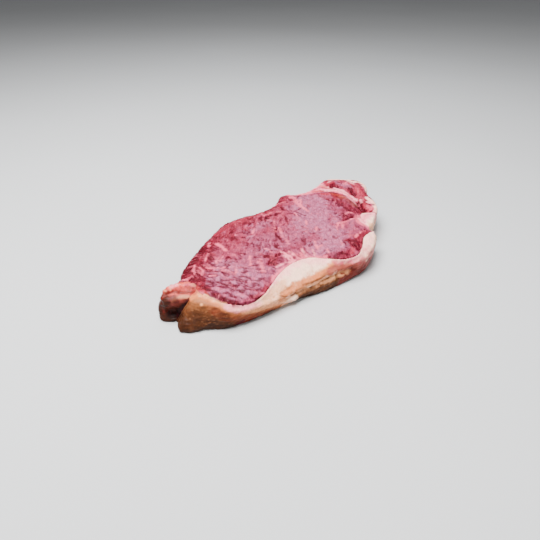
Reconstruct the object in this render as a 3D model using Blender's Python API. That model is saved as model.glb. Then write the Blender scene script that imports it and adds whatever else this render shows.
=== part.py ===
"""Raw striploin beef steak, cut across the muscle and lying flat.

The tables are in millimetres. +X runs from the thin tail to the far end, +Y away from the fat cap
and +Z up. The origin is under the middle of the steak's box, on the face that it lies on.

The steak is drawn in plan first: an outer rim, and the seams between muscle and fat. That plan is
one sheet of triangles. Each piece takes its own share of the sheet as its top, and gets a wall all
round and a flat underside, so that the pieces meet along the same seams with a thin gap.
"""
import math
from typing import NamedTuple

import bmesh
import bpy
import numpy as np
from mathutils import Vector
from mathutils.geometry import delaunay_2d_cdt

# Driving sizes
LENGTH = 224.0
WIDTH = 104.5
THICKNESS = 18.8
MM = 0.001

# Spacing of the rim's points and of the points inside the plan, which keep a share of it clear
EDGE_STEP = 3.0
GRID_STEP = 3.4
GRID_CLEARANCE = 0.62
SEAM_GAP = 0.3

# Points of the plan this close are one, and faces this flat to each other are joined
POINT_MERGE = 0.0001
FLAT_ANGLE = 0.4
SHARP_ANGLE = 50.0

# A corner of a seam counts as straight while the sine of its turn stays under this
STRAIGHT_SINE = 0.2

# The wall: a round shoulder under the rim, a gentle bulge, and a small round foot
SHOULDER = 1.8
FOOT = 0.9
BULGE = 0.7
SHOULDER_ANGLES = (0, 30, 60, 90)
SIDE_SHARES = (0.2, 0.4, 0.6, 0.8)
FOOT_ANGLES = (0, 45, 90)

# The rim, anticlockwise from the crease between tail and fat cap: x, y, height of the top there
# and how far the foot stands outside the rim
RIM = (
    (-93.5, 3.2, 16.3, 0.0),
    (-96.3, -0.8, 17.1, 0.0),
    (-94.6, -6.6, 16.9, 0.0),
    (-92.6, -12.4, 16.3, 0.0),
    (-90.0, -19.0, 14.7, 0.0),
    (-81.0, -26.2, 12.2, -2.0),
    (-69.2, -31.6, 10.9, -2.4),
    (-58.3, -35.3, 10.6, -2.4),
    (-44.5, -39.7, 10.8, -2.4),
    (-36.0, -42.6, 11.3, -0.9),
    (-25.8, -45.9, 11.6, 1.4),
    (-11.0, -51.2, 12.2, 1.2),
    (-0.1, -56.8, 13.2, -1.2),
    (11.0, -59.6, 13.9, -2.0),
    (20.0, -58.9, 14.8, -1.8),
    (30.2, -56.3, 15.4, -1.8),
    (38.4, -53.2, 15.8, -1.8),
    (41.4, -49.8, 16.2, -1.6),
    (42.2, -46.5, 16.4, -1.6),
    (51.0, -45.0, 17.0, -1.8),
    (62.5, -41.4, 17.2, -1.8),
    (77.0, -36.8, 17.2, -1.8),
    (86.5, -30.0, 17.2, -1.5),
    (95.5, -19.6, 17.6, -1.4),
    (105.3, -15.0, 17.4, -1.4),
    (113.5, -8.0, 17.0, -1.3),
    (117.6, 0.6, 16.6, -1.3),
    (114.2, 8.0, 16.8, -1.3),
    (110.0, 14.6, 17.3, -1.4),
    (103.6, 20.2, 17.7, -1.6),
    (84.0, 20.8, 17.7, -1.8),
    (71.0, 21.6, 17.6, -1.8),
    (64.2, 25.2, 17.4, -1.8),
    (56.6, 35.0, 16.8, -1.8),
    (36.8, 30.6, 16.8, -2.0),
    (22.0, 32.6, 16.8, -2.0),
    (7.5, 39.8, 16.4, -1.8),
    (-3.0, 44.0, 16.0, -1.6),
    (-27.1, 40.5, 16.0, -1.4),
    (-57.4, 32.4, 16.0, -1.0),
    (-75.0, 25.3, 16.6, 0.8),
    (-86.5, 19.0, 17.2, 1.4),
    (-92.5, 20.6, 17.8, 0.6),
    (-98.2, 20.2, 17.6, 1.4),
    (-102.2, 17.4, 17.2, 2.0),
    (-103.0, 13.4, 16.6, 0.0),
    (-99.3, 8.8, 16.3, 0.0),
)

# Where the fat corner spreads out flat and the tail curls in: how far the foot is drawn over in
# x and y, by the rim's row, counted back from the end for the rows of the tail
DRAWN_FOOT = {
    0: (-6.5, 5.2),
    1: (-9.9, 1.6),
    2: (-5.2, -0.9),
    3: (-2.0, -0.4),
    -1: (-2.4, 1.2),
    -2: (-1.1, 0.7),
}

# Where three pieces meet: x, y, height
TAIL_MEETING = (-85.0, 4.2, 16.9)
CREVICE_TOP = (75.8, -20.2, 15.0)
CREVICE_FOOT = (64.0, -30.8, 14.8)

# The seams, each a smooth line of x, y, height. An end that isn't a meeting runs out to the rim.
SEAMS = (
    # Eye muscle and fat cap: down the left corner, round the wide wedge and along the right band
    (TAIL_MEETING, (-88.0, -1.5, 17.1), (-88.3, -9.0, 17.0), (-86.2, -17.2, 16.2), (-82.0, -22.4, 15.0),
     (-75.3, -26.4, 14.2), (-65.7, -28.8, 14.2), (-56.0, -28.0, 15.8), (-43.6, -26.1, 16.9),
     (-27.5, -27.4, 17.3), (-19.2, -30.6, 17.1), (-10.0, -43.0, 16.3), (-3.6, -51.0, 15.8),
     (6.0, -55.0, 15.8), (15.9, -53.1, 16.3), (28.0, -48.8, 16.7), (41.4, -49.0, 16.4)),
    # Eye muscle and tail, and tail and fat cap
    (TAIL_MEETING, (-82.8, 9.0, 17.2), (-83.8, 14.2, 17.3), (-86.5, 19.0, 17.0)),
    (TAIL_MEETING, (-88.5, 2.9, 16.6), (-93.5, 3.2, 15.6)),
    # Eye muscle and the fat of the far seam, then the crevice along the end muscle
    ((58.0, 33.0, 16.8), (59.4, 26.6, 17.0), (63.4, 21.4, 17.0), (73.8, 14.6, 17.0), (80.0, 8.0, 17.0),
     (82.9, 0.0, 17.0), (82.4, -7.0, 16.8), (79.6, -13.6, 16.4), CREVICE_TOP),
    (CREVICE_TOP, (70.0, -25.0, 13.6), CREVICE_FOOT),
    # The fat of the far seam and the end muscle
    ((91.8, 20.2, 17.2), (88.4, 13.7, 16.9), (87.6, 4.0, 16.9), (86.0, -5.4, 16.8),
     (82.0, -13.4, 16.4), CREVICE_TOP),
    # The patch of fat on the front edge: eye muscle side, then end muscle side
    (CREVICE_FOOT, (58.5, -31.8, 16.3), (52.5, -34.6, 16.7), (46.6, -39.6, 16.8), (44.4, -46.4, 16.6)),
    (CREVICE_FOOT, (65.2, -35.5, 15.8), (65.0, -40.6, 16.8)),
)


class Piece(NamedTuple):
    """One piece: a point of the plan inside it, how much its top swells and waves, its finish."""
    inside: tuple
    swell: float
    relief: float
    colour: tuple
    roughness: float


PIECES = {
    "eye_muscle": Piece((0.0, 0.0), 1.5, 1.0, (0.42, 0.105, 0.135), 0.32),
    "fat_cap": Piece((-35.0, -33.0), 1.1, 1.0, (0.72, 0.52, 0.40), 0.38),
    "tail_flap": Piece((-93.0, 12.0), 1.2, 1.8, (0.46, 0.24, 0.19), 0.34),
    "seam_fat": Piece((81.0, 12.0), 0.9, 1.0, (0.76, 0.46, 0.42), 0.38),
    "end_muscle": Piece((100.0, 3.0), 1.0, 1.9, (0.50, 0.13, 0.15), 0.32),
    "end_fat": Piece((53.0, -39.0), 0.8, 1.0, (0.78, 0.60, 0.47), 0.38),
}

# Top swelling is full this far in from a rim or seam
SWELL_REACH = 7.0

# Low relief of the cut face, as seeded waves whose crests lie mostly along the fibres
WAVE_HEIGHT = 0.36
WAVE_LENGTHS = (10.0, 28.0)
WAVE_COUNT = 30
FIBRE_ANGLE = 34.0
FIBRE_SPREAD = 37.0
SEED = 7

# Low bumps of the walls: height, and how fast they follow each other along x, y and z
BUMP_HEIGHT = 0.25
BUMP_TURNS_X = (0.31, 0.9)
BUMP_TURNS_Y = (0.27, -0.5)

# The fat cap's front: a crease under its lip between two x, at a share of the way down, and a nub
# of fat low on the side
FRONT_Y = -20.0
LIP_CREASE = (-55.0, -2.0)
LIP_CREASE_FADE = 7.0
LIP_CREASE_DEPTH = 1.6
LIP_CREASE_SHARE = 0.2
LIP_CREASE_REACH = 0.13
NUB_PLACE = (-46.5, -38.0, 4.2)
NUB_REACH = 3.4
NUB_HEIGHT = 2.6

# The tail and the fat corner beside it: wider shoulders, and the hollow under the tail's fold
TAIL_PLACE = (-100.0, 15.0)
CORNER_PLACE = (-96.0, -4.0)
END_REACH = 11.0
TAIL_SHOULDER = 3.9
CORNER_SHOULDER = 2.6
HOLLOW_PLACE = (-101.0, 9.5, 6.4)
HOLLOW_REACH = 5.8
HOLLOW_HEIGHT = 3.4
HOLLOW_DEPTH = 6.5
HOLLOW_AXIS = (0.86, 0.51)


def bell(value, reach):
    """A smooth bump: 1 at zero, falling towards 0 past the reach."""
    return math.exp(-(value / reach) ** 2)


def ease(value):
    """0 below zero and 1 above one, with a smooth rise between."""
    value = min(max(value, 0.0), 1.0)
    return value * value * (3.0 - 2.0 * value)


def window(value, low, high, soft):
    """1 between low and high, falling to 0 over a soft distance outside."""
    return ease((value - low) / soft + 1.0) * ease((high - value) / soft + 1.0)


def spline(rows, step, closed=False):
    """Rows about every step along the smooth curve through the given rows."""
    rows = np.array(rows, float)
    if closed:
        rows = np.vstack([rows, rows[:1]])
    jumps = np.diff(rows, axis=0)
    spans = np.hypot(jumps[:, 0], jumps[:, 1])
    slopes = jumps / spans[:, None]
    count = len(spans)
    tangents = []
    for i in range(count + 1):
        back = (i - 1) % count if closed else max(i - 1, 0)
        ahead = i % count if closed else min(i, count - 1)
        mixed = slopes[back] * spans[ahead] + slopes[ahead] * spans[back]
        tangents.append(mixed / (spans[back] + spans[ahead]))
    curve = []
    for i in range(count):
        cuts = max(1, round(spans[i] / step))
        for cut in range(cuts):
            t = cut / cuts
            start = (2 * t**3 - 3 * t**2 + 1) * rows[i] + (t**3 - 2 * t**2 + t) * spans[i] * tangents[i]
            end = (3 * t**2 - 2 * t**3) * rows[i + 1] + (t**3 - t**2) * spans[i] * tangents[i + 1]
            curve.append(start + end)
    if not closed:
        curve.append(rows[-1])
    return np.array(curve)


def shoulder_at(x, y):
    """Radius of the shoulder: wider round the tail's fold and the fat corner."""
    near_tail = bell(math.hypot(x - TAIL_PLACE[0], y - TAIL_PLACE[1]), END_REACH)
    near_corner = bell(math.hypot(x - CORNER_PLACE[0], y - CORNER_PLACE[1]), END_REACH)
    wider = near_tail * (TAIL_SHOULDER - SHOULDER) + near_corner * (CORNER_SHOULDER - SHOULDER)
    return SHOULDER + min(wider, TAIL_SHOULDER - SHOULDER)


def profile(height, shoulder, lean):
    """Each ring of the wall, rim to foot: outward offset, height, and share of the way down."""
    rings = []
    for angle in SHOULDER_ANGLES:
        turn = math.radians(angle)
        rings.append((-shoulder * (1 - math.sin(turn)), height - shoulder * (1 - math.cos(turn)), 0.0))
    top = height - shoulder
    for share in SIDE_SHARES:
        offset = lean * share + BULGE * 4 * share * (1 - share)
        rings.append((offset, top + (FOOT - top) * share, share))
    for angle in FOOT_ANGLES:
        turn = math.radians(angle)
        rings.append((lean - FOOT * (1 - math.cos(turn)), FOOT * (1 - math.sin(turn)), 1.0))
    return rings


def wall_relief(x, y, z, share):
    """How far the side stands out at a place: crease, nub and low bumps."""
    along_x = math.sin(BUMP_TURNS_X[0] * x + BUMP_TURNS_X[1] * z)
    along_y = math.cos(BUMP_TURNS_Y[0] * y + BUMP_TURNS_Y[1] * z)
    out = BUMP_HEIGHT * along_x * along_y
    if y < FRONT_Y:
        crease = bell(share - LIP_CREASE_SHARE, LIP_CREASE_REACH)
        out -= LIP_CREASE_DEPTH * crease * window(x, *LIP_CREASE, LIP_CREASE_FADE)
    nub_x, nub_y, nub_z = NUB_PLACE
    out += NUB_HEIGHT * bell(math.hypot(x - nub_x, y - nub_y), NUB_REACH) * bell(z - nub_z, NUB_REACH / 2)
    return out * ease(z / FOOT)


def hollow_shift(x, y, z):
    """The move that presses the tail's side in under its fold."""
    hole_x, hole_y, hole_z = HOLLOW_PLACE
    sideways = bell(math.hypot(x - hole_x, y - hole_y), HOLLOW_REACH)
    return HOLLOW_DEPTH * sideways * bell(z - hole_z, HOLLOW_HEIGHT) * np.array(HOLLOW_AXIS)


def rim_columns():
    """The wall's columns of points, one at each place along the rim, from rim to foot."""
    rows = [list(row) + [0.0, 0.0] for row in RIM]
    for index, drawn in DRAWN_FOOT.items():
        rows[index][-2:] = drawn
    rim = spline(rows, EDGE_STEP, closed=True)
    ahead = np.roll(rim, -1, axis=0) - np.roll(rim, 1, axis=0)
    columns = []
    for (x, y, height, lean, *drawn), step in zip(rim, ahead):
        outward = np.array([step[1], -step[0]]) / math.hypot(step[0], step[1])
        column = []
        for offset, z, share in profile(height, shoulder_at(x, y), lean):
            offset += wall_relief(x, y, z, share) if share > 0.0 else 0.0
            place = np.array([x, y]) + outward * offset + np.array(drawn) * share
            if share > 0.0:
                place += hollow_shift(x, y, z)
            column.append((place[0], place[1], z))
        columns.append(np.array(column))
    return columns


def straight_column(x, y, top):
    """A seam's column: the same rings, straight down."""
    return np.array([(x, y, z) for _, z, _ in profile(top, SHOULDER, 0.0)])


def plan_points(columns):
    """Every fixed point of the plan, with its wall column, and the lines that join them."""
    fixed = [column[0] for column in columns]
    walls = list(columns)
    rim_count = len(columns)
    lines = [(i, (i + 1) % rim_count) for i in range(rim_count)]
    meetings = {}
    rim_xy = np.array(fixed)[:, :2]
    for seam in SEAMS:
        ends = []
        for end in (seam[0], seam[-1]):
            if end in (TAIL_MEETING, CREVICE_TOP, CREVICE_FOOT):
                if end not in meetings:
                    meetings[end] = len(fixed)
                    fixed.append(np.array(end))
                    walls.append(straight_column(*end))
                ends.append(meetings[end])
            else:
                ends.append(int(np.argmin(np.hypot(*(rim_xy - end[:2]).T))))
        path = spline([fixed[ends[0]]] + list(seam[1:-1]) + [fixed[ends[1]]], EDGE_STEP)
        chain = [ends[0]]
        for x, y, z in path[1:-1]:
            chain.append(len(fixed))
            fixed.append(np.array([x, y, z]))
            walls.append(straight_column(x, y, z))
        chain.append(ends[1])
        lines += list(zip(chain, chain[1:]))
    return np.array(fixed), walls, lines


def is_inside(point, loop):
    """Whether a point lies inside a closed loop of points."""
    ahead = np.roll(loop, -1, axis=0)
    spans = (loop[:, 1] > point[1]) != (ahead[:, 1] > point[1])
    run = (ahead[spans] - loop[spans]).T
    crossings = loop[spans, 0] + run[0] * (point[1] - loop[spans, 1]) / run[1]
    return np.count_nonzero(crossings > point[0]) % 2 == 1


def grid_points(fixed, rim_count):
    """Points of a triangular grid inside the plan, clear of the rim and the seams."""
    rim = fixed[:rim_count, :2]
    low = fixed[:, :2].min(axis=0)
    high = fixed[:, :2].max(axis=0)
    row_step = GRID_STEP * math.sqrt(3.0) / 2.0
    points = []
    for row in range(int((high[1] - low[1]) / row_step) + 1):
        shift = GRID_STEP / 2.0 if row % 2 else 0.0
        for place in range(int((high[0] - low[0]) / GRID_STEP) + 1):
            point = low + np.array([place * GRID_STEP + shift, row * row_step])
            clear = np.hypot(*(fixed[:, :2] - point).T).min() > GRID_CLEARANCE * GRID_STEP
            if clear and is_inside(point, rim):
                points.append(point)
    return np.array(points)


def plan_sheet(fixed, rim_count, lines):
    """The plan as one sheet of triangles: its points, triangles and the edges that are lines."""
    places = [Vector(point[:2]) for point in fixed]
    places += [Vector(point) for point in grid_points(fixed, rim_count)]
    made = delaunay_2d_cdt(places, lines, [], 1, POINT_MERGE)
    points, edges, faces, sources, line_sources, _ = made
    sheet = np.array([point[:] for point in points])
    fixed_of = {}
    for new, old in enumerate(sources):
        kept = [index for index in old if index < len(fixed)]
        if kept:
            fixed_of[new] = kept[0]
    barrier = {frozenset(edge) for edge, source in zip(edges, line_sources) if source}
    return sheet, [tuple(face) for face in faces], fixed_of, barrier


def film_heights(sheet, faces, fixed_of, fixed):
    """Heights of a film stretched over the rim and the seams."""
    count = len(sheet)
    matrix = np.zeros((count, count))
    target = np.zeros(count)
    for face in faces:
        for a, b in zip(face, face[1:] + face[:1]):
            matrix[a, b] = matrix[b, a] = -1.0
    for i in range(count):
        if i in fixed_of:
            matrix[i, :] = 0.0
            matrix[i, i] = 1.0
            target[i] = fixed[fixed_of[i]][2]
        else:
            matrix[i, i] = -matrix[i].sum()
    return np.linalg.solve(matrix, target)


def make_waves():
    """Seeded waves whose crests run mostly along the muscle's fibres."""
    draw = np.random.default_rng(SEED)
    waves = []
    for _ in range(WAVE_COUNT):
        angle = math.radians(FIBRE_ANGLE + 90.0 + draw.normal(0.0, FIBRE_SPREAD))
        spin = 2.0 * math.pi / draw.uniform(*WAVE_LENGTHS)
        waves.append((spin * math.cos(angle), spin * math.sin(angle), draw.uniform(0.0, 2.0 * math.pi)))
    return waves


def wave_height(waves, x, y):
    """The relief of the cut face at one place."""
    total = sum(math.sin(kx * x + ky * y + phase) for kx, ky, phase in waves)
    return WAVE_HEIGHT * total * math.sqrt(2.0 / len(waves))


def split_pieces(sheet, faces, barrier):
    """The triangles of each piece, found by spreading from its point without crossing a line."""
    sides = {}
    for index, face in enumerate(faces):
        for a, b in zip(face, face[1:] + face[:1]):
            sides.setdefault(frozenset((a, b)), []).append(index)
    middles = np.array([sheet[list(face)].mean(axis=0) for face in faces])
    shares = {}
    for name, piece in PIECES.items():
        start = int(np.argmin(np.hypot(*(middles - piece.inside).T)))
        found = {start}
        waiting = [start]
        while waiting:
            face = faces[waiting.pop()]
            for a, b in zip(face, face[1:] + face[:1]):
                edge = frozenset((a, b))
                if edge in barrier:
                    continue
                fresh = [index for index in sides[edge] if index not in found]
                found.update(fresh)
                waiting += fresh
        shares[name] = [faces[index] for index in sorted(found)]
    return shares


def boundary_loop(faces):
    """The points round a piece, anticlockwise."""
    after = {}
    directed = {(a, b) for face in faces for a, b in zip(face, face[1:] + face[:1])}
    for a, b in directed:
        if (b, a) not in directed:
            after[a] = b
    start = min(after)
    loop = [start]
    while after[loop[-1]] != start:
        loop.append(after[loop[-1]])
    return loop


def seam_shift(before, point, after, gap_before, gap_after):
    """The move that draws a corner of a piece back from the seams on its two sides."""
    rows = []
    gaps = []
    for start, end, gap in ((before, point, gap_before), (point, after, gap_after)):
        along = (end - start) / math.hypot(*(end - start))
        rows.append((-along[1], along[0]))
        gaps.append(gap)
    matrix = np.array(rows)
    if abs(np.linalg.det(matrix)) < STRAIGHT_SINE:
        inward = matrix.mean(axis=0)
        return inward * max(gaps) / math.hypot(*inward)
    return np.linalg.solve(matrix, np.array(gaps))


def piece_mesh(name, faces, sheet, heights, walls, fixed_of, rim_count, waves):
    """The closed body of one piece, in millimetres."""
    loop = boundary_loop(faces)
    edge_points = sheet[loop]
    body = bmesh.new()
    made = {}
    for index in sorted({i for face in faces for i in face}):
        x, y = sheet[index]
        inside = np.hypot(*(edge_points - sheet[index]).T).min() / SWELL_REACH
        rise = math.sin(min(inside, 1.0) * math.pi / 2.0)
        swell = PIECES[name].swell + PIECES[name].relief * wave_height(waves, x, y)
        z = heights[index] + rise * swell
        made[index] = body.verts.new((x, y, z))
    rings = {}
    for place, index in enumerate(loop):
        before = loop[place - 1]
        after = loop[(place + 1) % len(loop)]
        on_rim = [fixed_of[i] < rim_count for i in (before, index, after)]
        gap_before = 0.0 if on_rim[0] and on_rim[1] else SEAM_GAP / 2.0
        gap_after = 0.0 if on_rim[1] and on_rim[2] else SEAM_GAP / 2.0
        shift = seam_shift(sheet[before], sheet[index], sheet[after], gap_before, gap_after)
        column = walls[fixed_of[index]] + np.array([shift[0], shift[1], 0.0])
        made[index].co = Vector(column[0])
        rings[index] = [made[index]] + [body.verts.new(point) for point in column[1:]]
    for face in faces:
        body.faces.new([made[i] for i in face])
    for a, b in zip(loop, loop[1:] + loop[:1]):
        for upper, lower in zip(range(len(rings[a]) - 1), range(1, len(rings[a]))):
            corners = (rings[b][upper], rings[a][upper], rings[a][lower], rings[b][lower])
            if a < b:
                body.faces.new((corners[0], corners[1], corners[3]))
                body.faces.new((corners[1], corners[2], corners[3]))
            else:
                body.faces.new((corners[0], corners[1], corners[2]))
                body.faces.new((corners[0], corners[2], corners[3]))
    body.faces.new([rings[index][-1] for index in reversed(loop)])
    flat = math.radians(FLAT_ANGLE)
    bmesh.ops.dissolve_limit(body, angle_limit=flat, verts=body.verts[:], edges=body.edges[:])
    bmesh.ops.triangulate(body, faces=body.faces[:])
    return body


def fit_to_box(bodies):
    """Scale and move all the pieces together, so that the steak's box is the driving sizes."""
    places = np.array([vert.co[:] for body in bodies.values() for vert in body.verts])
    low = places.min(axis=0)
    high = places.max(axis=0)
    scale = np.array([LENGTH, WIDTH, THICKNESS]) / (high - low) * MM
    middle = np.array([(low[0] + high[0]) / 2.0, (low[1] + high[1]) / 2.0, low[2]])
    for body in bodies.values():
        for vert in body.verts:
            vert.co = Vector((np.array(vert.co[:]) - middle) * scale)


def make_material(name):
    """A plain Principled material of the piece's main colour."""
    material = bpy.data.materials.new(name)
    material.use_nodes = True
    shader = material.node_tree.nodes["Principled BSDF"]
    shader.inputs["Base Color"].default_value = (*PIECES[name].colour, 1.0)
    shader.inputs["Roughness"].default_value = PIECES[name].roughness
    shader.inputs["Metallic"].default_value = 0.0
    return material


def make_object(name, body):
    """Put one finished piece in the scene."""
    mesh = bpy.data.meshes.new(name)
    body.to_mesh(mesh)
    body.free()
    mesh.shade_smooth()
    mesh.set_sharp_from_angle(angle=math.radians(SHARP_ANGLE))
    mesh.materials.append(make_material(name))
    bpy.context.scene.collection.objects.link(bpy.data.objects.new(name, mesh))


def main():
    """Build the steak."""
    for item in list(bpy.data.objects):
        bpy.data.objects.remove(item, do_unlink=True)
    columns = rim_columns()
    fixed, walls, lines = plan_points(columns)
    sheet, faces, fixed_of, barrier = plan_sheet(fixed, len(columns), lines)
    heights = film_heights(sheet, faces, fixed_of, fixed)
    waves = make_waves()
    bodies = {}
    for name, share in split_pieces(sheet, faces, barrier).items():
        bodies[name] = piece_mesh(name, share, sheet, heights, walls, fixed_of, len(columns), waves)
    fit_to_box(bodies)
    for name, body in bodies.items():
        make_object(name, body)


if __name__ == "__main__":
    main()
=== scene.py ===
"""Looks of a raw striploin steak: cut lean meat, fat and membrane under a moist film.

Places on the steak are in millimetres. In plan they are measured from a point a little off the
middle of the steak's box (DRAWN_FROM), and in height from the surface that it lies on.
"""

import logging
import math
from dataclasses import dataclass, field
from enum import Enum
from typing import Any

import bpy
import numpy as np
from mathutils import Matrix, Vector, noise
from mathutils.bvhtree import BVHTree


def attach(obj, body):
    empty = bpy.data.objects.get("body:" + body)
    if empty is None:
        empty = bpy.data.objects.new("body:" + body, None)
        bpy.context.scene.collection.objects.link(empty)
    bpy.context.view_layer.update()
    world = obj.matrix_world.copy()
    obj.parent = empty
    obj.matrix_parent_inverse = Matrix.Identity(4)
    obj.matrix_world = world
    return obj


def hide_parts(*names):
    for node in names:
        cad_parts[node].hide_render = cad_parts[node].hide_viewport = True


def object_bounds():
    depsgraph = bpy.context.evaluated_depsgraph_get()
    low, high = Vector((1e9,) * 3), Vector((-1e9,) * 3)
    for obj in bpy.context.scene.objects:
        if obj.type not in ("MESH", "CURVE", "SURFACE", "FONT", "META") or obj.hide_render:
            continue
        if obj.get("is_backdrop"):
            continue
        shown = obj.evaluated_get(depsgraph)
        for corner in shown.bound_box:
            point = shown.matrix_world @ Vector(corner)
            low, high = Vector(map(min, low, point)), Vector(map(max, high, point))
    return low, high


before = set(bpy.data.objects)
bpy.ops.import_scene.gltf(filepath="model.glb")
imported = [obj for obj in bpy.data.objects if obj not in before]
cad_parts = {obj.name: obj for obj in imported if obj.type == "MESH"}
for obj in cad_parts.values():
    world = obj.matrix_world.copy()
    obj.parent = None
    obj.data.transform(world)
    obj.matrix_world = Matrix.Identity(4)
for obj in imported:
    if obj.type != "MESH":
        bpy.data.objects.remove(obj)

LOG = logging.getLogger("steak")
MM = 0.001
BODY = "root"

# Where the middle of the steak's box lies, seen from the point that places are measured from
DRAWN_FROM = np.array([5.7, -7.5, 0.0])

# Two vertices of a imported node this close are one, in millimetres
MERGE_DISTANCE = 0.01

# How far a round of smoothing moves a point towards the middle of its neighbours
EASE_SHARE = 0.5

# Smooth noise lies mostly between these values
NOISE_SPAN = (0.3, 0.7)

# The waves that fray the strokes' edges, each with its length in millimetres and its height
RAGGED_WAVES = ((3.2, 1.3), (1.344, 0.7))

Path = tuple[tuple[float, ...], ...]
Span = tuple[float, float]


class Tone(Enum):
    """Colours on the steak: sRGB red, green and blue, and how lean the meat is there."""

    # The lilac tone is the meat's own tint with a painted sheen of cool light on it.
    LILAC = (148, 76, 102, 1.0)
    MAUVE = (131, 50, 73, 1.0)
    ROSE = (130, 36, 56, 1.0)
    CRIMSON = (104, 20, 36, 1.0)
    DEEP_RED = (66, 5, 16, 1.0)
    SALMON = (134, 32, 30, 0.6)
    CORAL = (140, 32, 50, 0.8)
    BLUSH = (218, 86, 110, 0.3)
    PALE_PINK = (244, 142, 152, 0.0)
    SHRIMP = (205, 76, 68, 0.2)
    CREAM = (252, 200, 172, 0.0)
    IVORY = (227, 153, 107, 0.0)
    PEACH = (201, 109, 63, 0.0)
    FLESH = (150, 72, 62, 0.0)
    TAN = (143, 84, 48, 0.0)
    ORANGE = (112, 40, 26, 0.0)
    RUST = (96, 27, 19, 0.1)
    BROWN = (82, 45, 25, 0.0)
    MEMBRANE = (76, 27, 23, 0.1)
    UMBER = (48, 24, 14, 0.0)
    # The darkest tone is painted shade, put where the tail's hollow lies in shadow.
    HOLLOW = (17, 2, 2, 0.2)

    @property
    def linear(self) -> np.ndarray:
        """Linear red, green and blue by the sRGB standard's curve, then leanness."""
        srgb = np.array(self.value[:3]) / 255.0
        colour = np.where(srgb <= 0.04045, srgb / 12.92, ((srgb + 0.055) / 1.055) ** 2.4)
        return np.append(colour, self.value[3])

    @property
    def opaque(self) -> tuple[float, ...]:
        """Linear red, green and blue, then an opacity of 1."""
        return (*self.linear[:3], 1.0)


def distance_to_path(places: np.ndarray, path: Path) -> np.ndarray:
    """Distance of each place to a line of straight stretches.

    Args:
        places: Places in millimetres, one a row.
        path: The line's points, in plan or in space.

    Returns:
        One distance for each place, in plan where the line's points have no height.
    """
    points = np.array(path, float)
    spots = places[:, : points.shape[1]]
    best = np.linalg.norm(spots - points[0], axis=1)
    for start, end in zip(points, points[1:]):
        run = end - start
        share = np.clip((spots - start) @ run / (run @ run), 0.0, 1.0)
        best = np.minimum(best, np.linalg.norm(spots - start - share[:, None] * run, axis=1))
    return best


def fade(distance: np.ndarray, full: float, soft: float) -> np.ndarray:
    """1 up to the full distance, then a smooth fall to 0 over the soft one."""
    share = np.clip((distance - full) / soft, 0.0, 1.0)
    return 1.0 - share * share * (3.0 - 2.0 * share)


@dataclass(frozen=True)
class Stroke:
    """A pass of colour along a line: its half width, soft edge and raggedness in millimetres."""

    tone: Tone
    path: Path
    width: float
    soft: float
    strength: float
    fray: float

    def cover(self, places: np.ndarray, ragged: np.ndarray) -> np.ndarray:
        """How much of the stroke shows at each place."""
        distance = distance_to_path(places, self.path) + ragged * self.fray
        return self.strength * fade(distance, self.width, self.soft)


@dataclass(frozen=True)
class Layer:
    """Colour from a height downwards: the height along X, the soft edge and the raggedness."""

    tone: Tone
    line: Path
    soft: float
    strength: float
    fray: float

    def cover(self, places: np.ndarray, ragged: np.ndarray) -> np.ndarray:
        """How much of the layer shows at each place."""
        stations = np.array(self.line, float)
        height = np.interp(places[:, 0], stations[:, 0], stations[:, 1])
        return self.strength * fade(places[:, 2] - height + ragged * self.fray, -0.5 * self.soft, self.soft)


Paint = list[Stroke | Layer]


def strokes(*rows: Layer | tuple[Any, ...]) -> Paint:
    """Strokes in the order in which they cover each other.

    Args:
        rows: Each a tone, then a brush's half width, soft edge, strength and raggedness, then the
            lines that the brush follows. A layer is taken as it is.

    Returns:
        One stroke for each line, and the layers.
    """
    made: Paint = []
    for row in rows:
        if isinstance(row, Layer):
            made.append(row)
        else:
            tone, brush, *paths = row
            made += [Stroke(tone, path, *brush) for path in paths]
    return made


@dataclass(frozen=True)
class Crowd:
    """A part of the meat where a kind of relief shows by an amount from 0 to 1."""

    amount: float
    path: Path
    width: float
    soft: float = 6.0


def crowded(places: np.ndarray, start: float, crowds: list[Crowd]) -> np.ndarray:
    """How much of a kind of relief shows.

    Args:
        places: Places in millimetres, one a row.
        start: The amount outside the crowds.
        crowds: The parts that have an amount of their own, later ones over earlier ones.

    Returns:
        One amount for each place.
    """
    amount = np.full(len(places), start)
    for crowd in crowds:
        cover = fade(distance_to_path(places, crowd.path), crowd.width, crowd.soft)
        amount += cover * (crowd.amount - amount)
    return amount


@dataclass(frozen=True)
class Swell:
    """A ridge, knob or groove along a line. Heights are in millimetres, and a groove's is negative."""

    path: Path
    width: float
    soft: float
    height: float
    fray: float = 0.4

    def lift(self, places: np.ndarray, ragged: np.ndarray) -> np.ndarray:
        """How far the surface is lifted at each place."""
        distance = distance_to_path(places, self.path) + ragged * self.fray
        return self.height * fade(distance, self.width, self.soft)


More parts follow.
